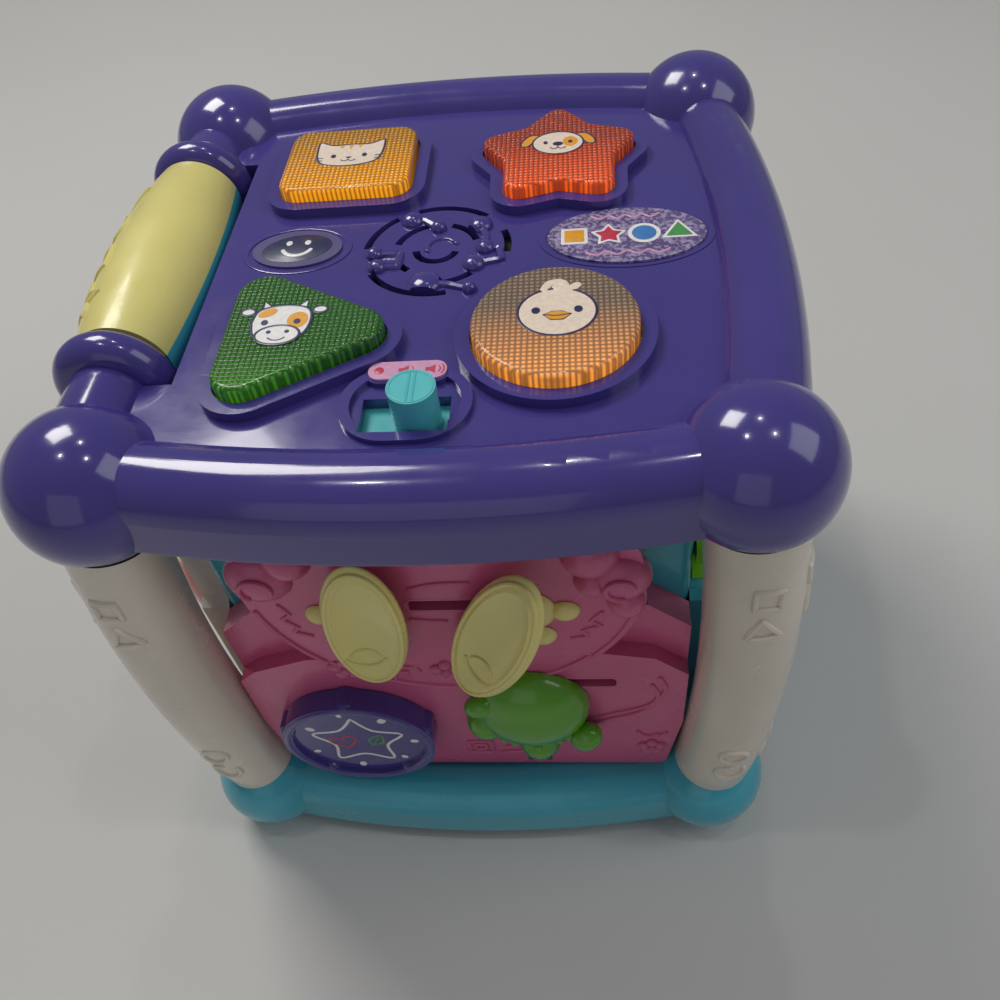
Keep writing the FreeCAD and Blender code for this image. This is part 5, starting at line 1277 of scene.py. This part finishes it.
@dataclass
class Underside:
    """Ribs and finger grips under the base."""

    def build(self) -> None:
        """Lay a frame and grip ribs on the battery door and the cover."""
        seat = Matrix.Rotation(math.radians(180), 4, "X")
        piece = Moulding("door_ribs", Side.TOP, seat)
        for across in (-18, -15, -12, 12, 15, 18):
            piece.bead([(across, -7), (across, 7)], 0.6, -4.9)
        frame_line = [(-38, -30), (38, -30), (38, 30), (-38, 30)]
        piece.bead(closed(frame_line), 0.8, -4.9)
        piece.finish("housing", TEAL)


# ---------------------------------------------------------------- studio


@dataclass
class Studio:
    """Pale floor, soft lights and the camera."""

    eye: tuple[float, float, float] = (0.033249, -0.175928, 0.270455)
    azimuth: float = 0.153
    look_up: float = 0.706
    roll: float = -0.144
    lens: float = 33.18

    def camera(self) -> None:
        """The camera at the viewing angle."""
        data = bpy.data.cameras.new("camera")
        data.lens, data.sensor_width = self.lens, 36.0
        data.clip_start = 0.01
        camera = bpy.data.objects.new("camera", data)
        turn = (Matrix.Rotation(self.azimuth, 4, "Z") @ Matrix.Rotation(self.look_up, 4, "X")
                @ Matrix.Rotation(self.roll, 4, "Z"))
        camera.matrix_world = Matrix.Translation(self.eye) @ turn
        bpy.context.scene.collection.objects.link(camera)
        bpy.context.scene.camera = camera

    def light(self, name: str, spot: Sequence[float], size: float, power: float,
              colour: Sequence[float] = (1, 1, 1)) -> None:
        """A square soft light aimed at the cube."""
        data = bpy.data.lights.new(name, "AREA")
        data.size, data.energy, data.color = size, power, colour
        lamp = bpy.data.objects.new(name, data)
        lamp.location = spot
        aim = Vector((0, 0, 0.08)) - Vector(spot)
        lamp.rotation_euler = aim.to_track_quat("-Z", "Y").to_euler()
        bpy.context.scene.collection.objects.link(lamp)

    def floor(self) -> None:
        """A wide pale floor."""
        mesh = bmesh.new()
        bmesh.ops.create_grid(mesh, x_segments=8, y_segments=8, size=4)
        data = bpy.data.meshes.new("floor")
        mesh.to_mesh(data)
        mesh.free()
        recipe = Recipe("floor")
        base = tint("cfcdc8")
        recipe.feed("Base Color", recipe.ramp(recipe.noise(3, 4), ((0.3, shade(base, 0.94)), (0.7, base))))
        recipe.set(Roughness=0.75)
        data.materials.append(recipe.material)
        floor = bpy.data.objects.new("floor", data)
        bpy.context.scene.collection.objects.link(floor)

    def build(self) -> None:
        """Set up the floor, the lights and the camera."""
        self.floor()
        self.camera()
        self.light("key", (-0.45, 0.45, 1.0), 0.4, 5.6, (1.0, 0.97, 0.93))
        self.light("fill", (0.8, -0.1, 0.8), 0.6, 2.0, (0.93, 0.96, 1.0))
        self.light("front", (-0.2, -1.1, 0.45), 0.8, 0.6)
        for index, spot in enumerate(((-0.25, -0.1, 1.1), (0.05, 0.3, 1.2), (0.3, -0.1, 1.15))):
            self.light(f"glint_{index}", spot, 0.04, 0.5)
        world = bpy.data.worlds.new("studio")
        world.use_nodes = True
        background = world.node_tree.nodes["Background"]
        background.inputs["Color"].default_value = (0.86, 0.9, 1.0, 1.0)
        background.inputs["Strength"].default_value = 0.2
        bpy.context.scene.view_settings.view_transform = "Standard"
        bpy.context.scene.world = world


def main() -> None:
    """Build every sub-assembly in order."""
    logging.basicConfig(level=logging.INFO, format="%(name)s %(message)s")
    Studio().build()
    Housing().build()
    Labels().build()
    Switch().build()
    for button in (
        Button(Shape.SQUARE, (-24, 33), AMBER_LENS, AMBER_PRISM),
        Button(Shape.STAR, (27.5, 31), RED_LENS, RED_PRISM),
        Button(Shape.CIRCLE, (27, -32.5), SMOKE_LENS, SMOKE_PRISM),
        Button(Shape.TRIANGLE, (-27.3, -31.8), GREEN_LENS, GREEN_PRISM),
    ):
        button.build()
    draw_cat(Face("cat", "button_square", (-24, 34)))
    draw_dog(Face("dog", "button_star", (27.5, 33), 0.9))
    draw_chick(Face("chick", "button_circle", (27.5, -30.5), 1.0))
    draw_cow(Face("cow", "button_triangle", (-28.5, -31), 1.0))
    Roller().build()
    PostMarks().build()
    Front().build()
    Wing("left", (-10.5, 106.0), 4.0, 0.0, -1).build()
    Wing("right", (10.5, 106.0), 24.0, 40.0, 1).build()
    Turtle().build()
    Dial().build()
    gears = Gears()
    gears.build()
    gears.wall()
    Spinner().build()
    LeftWall().build()
    Rear().build()
    Underside().build()


if __name__ == "__main__":
    main()
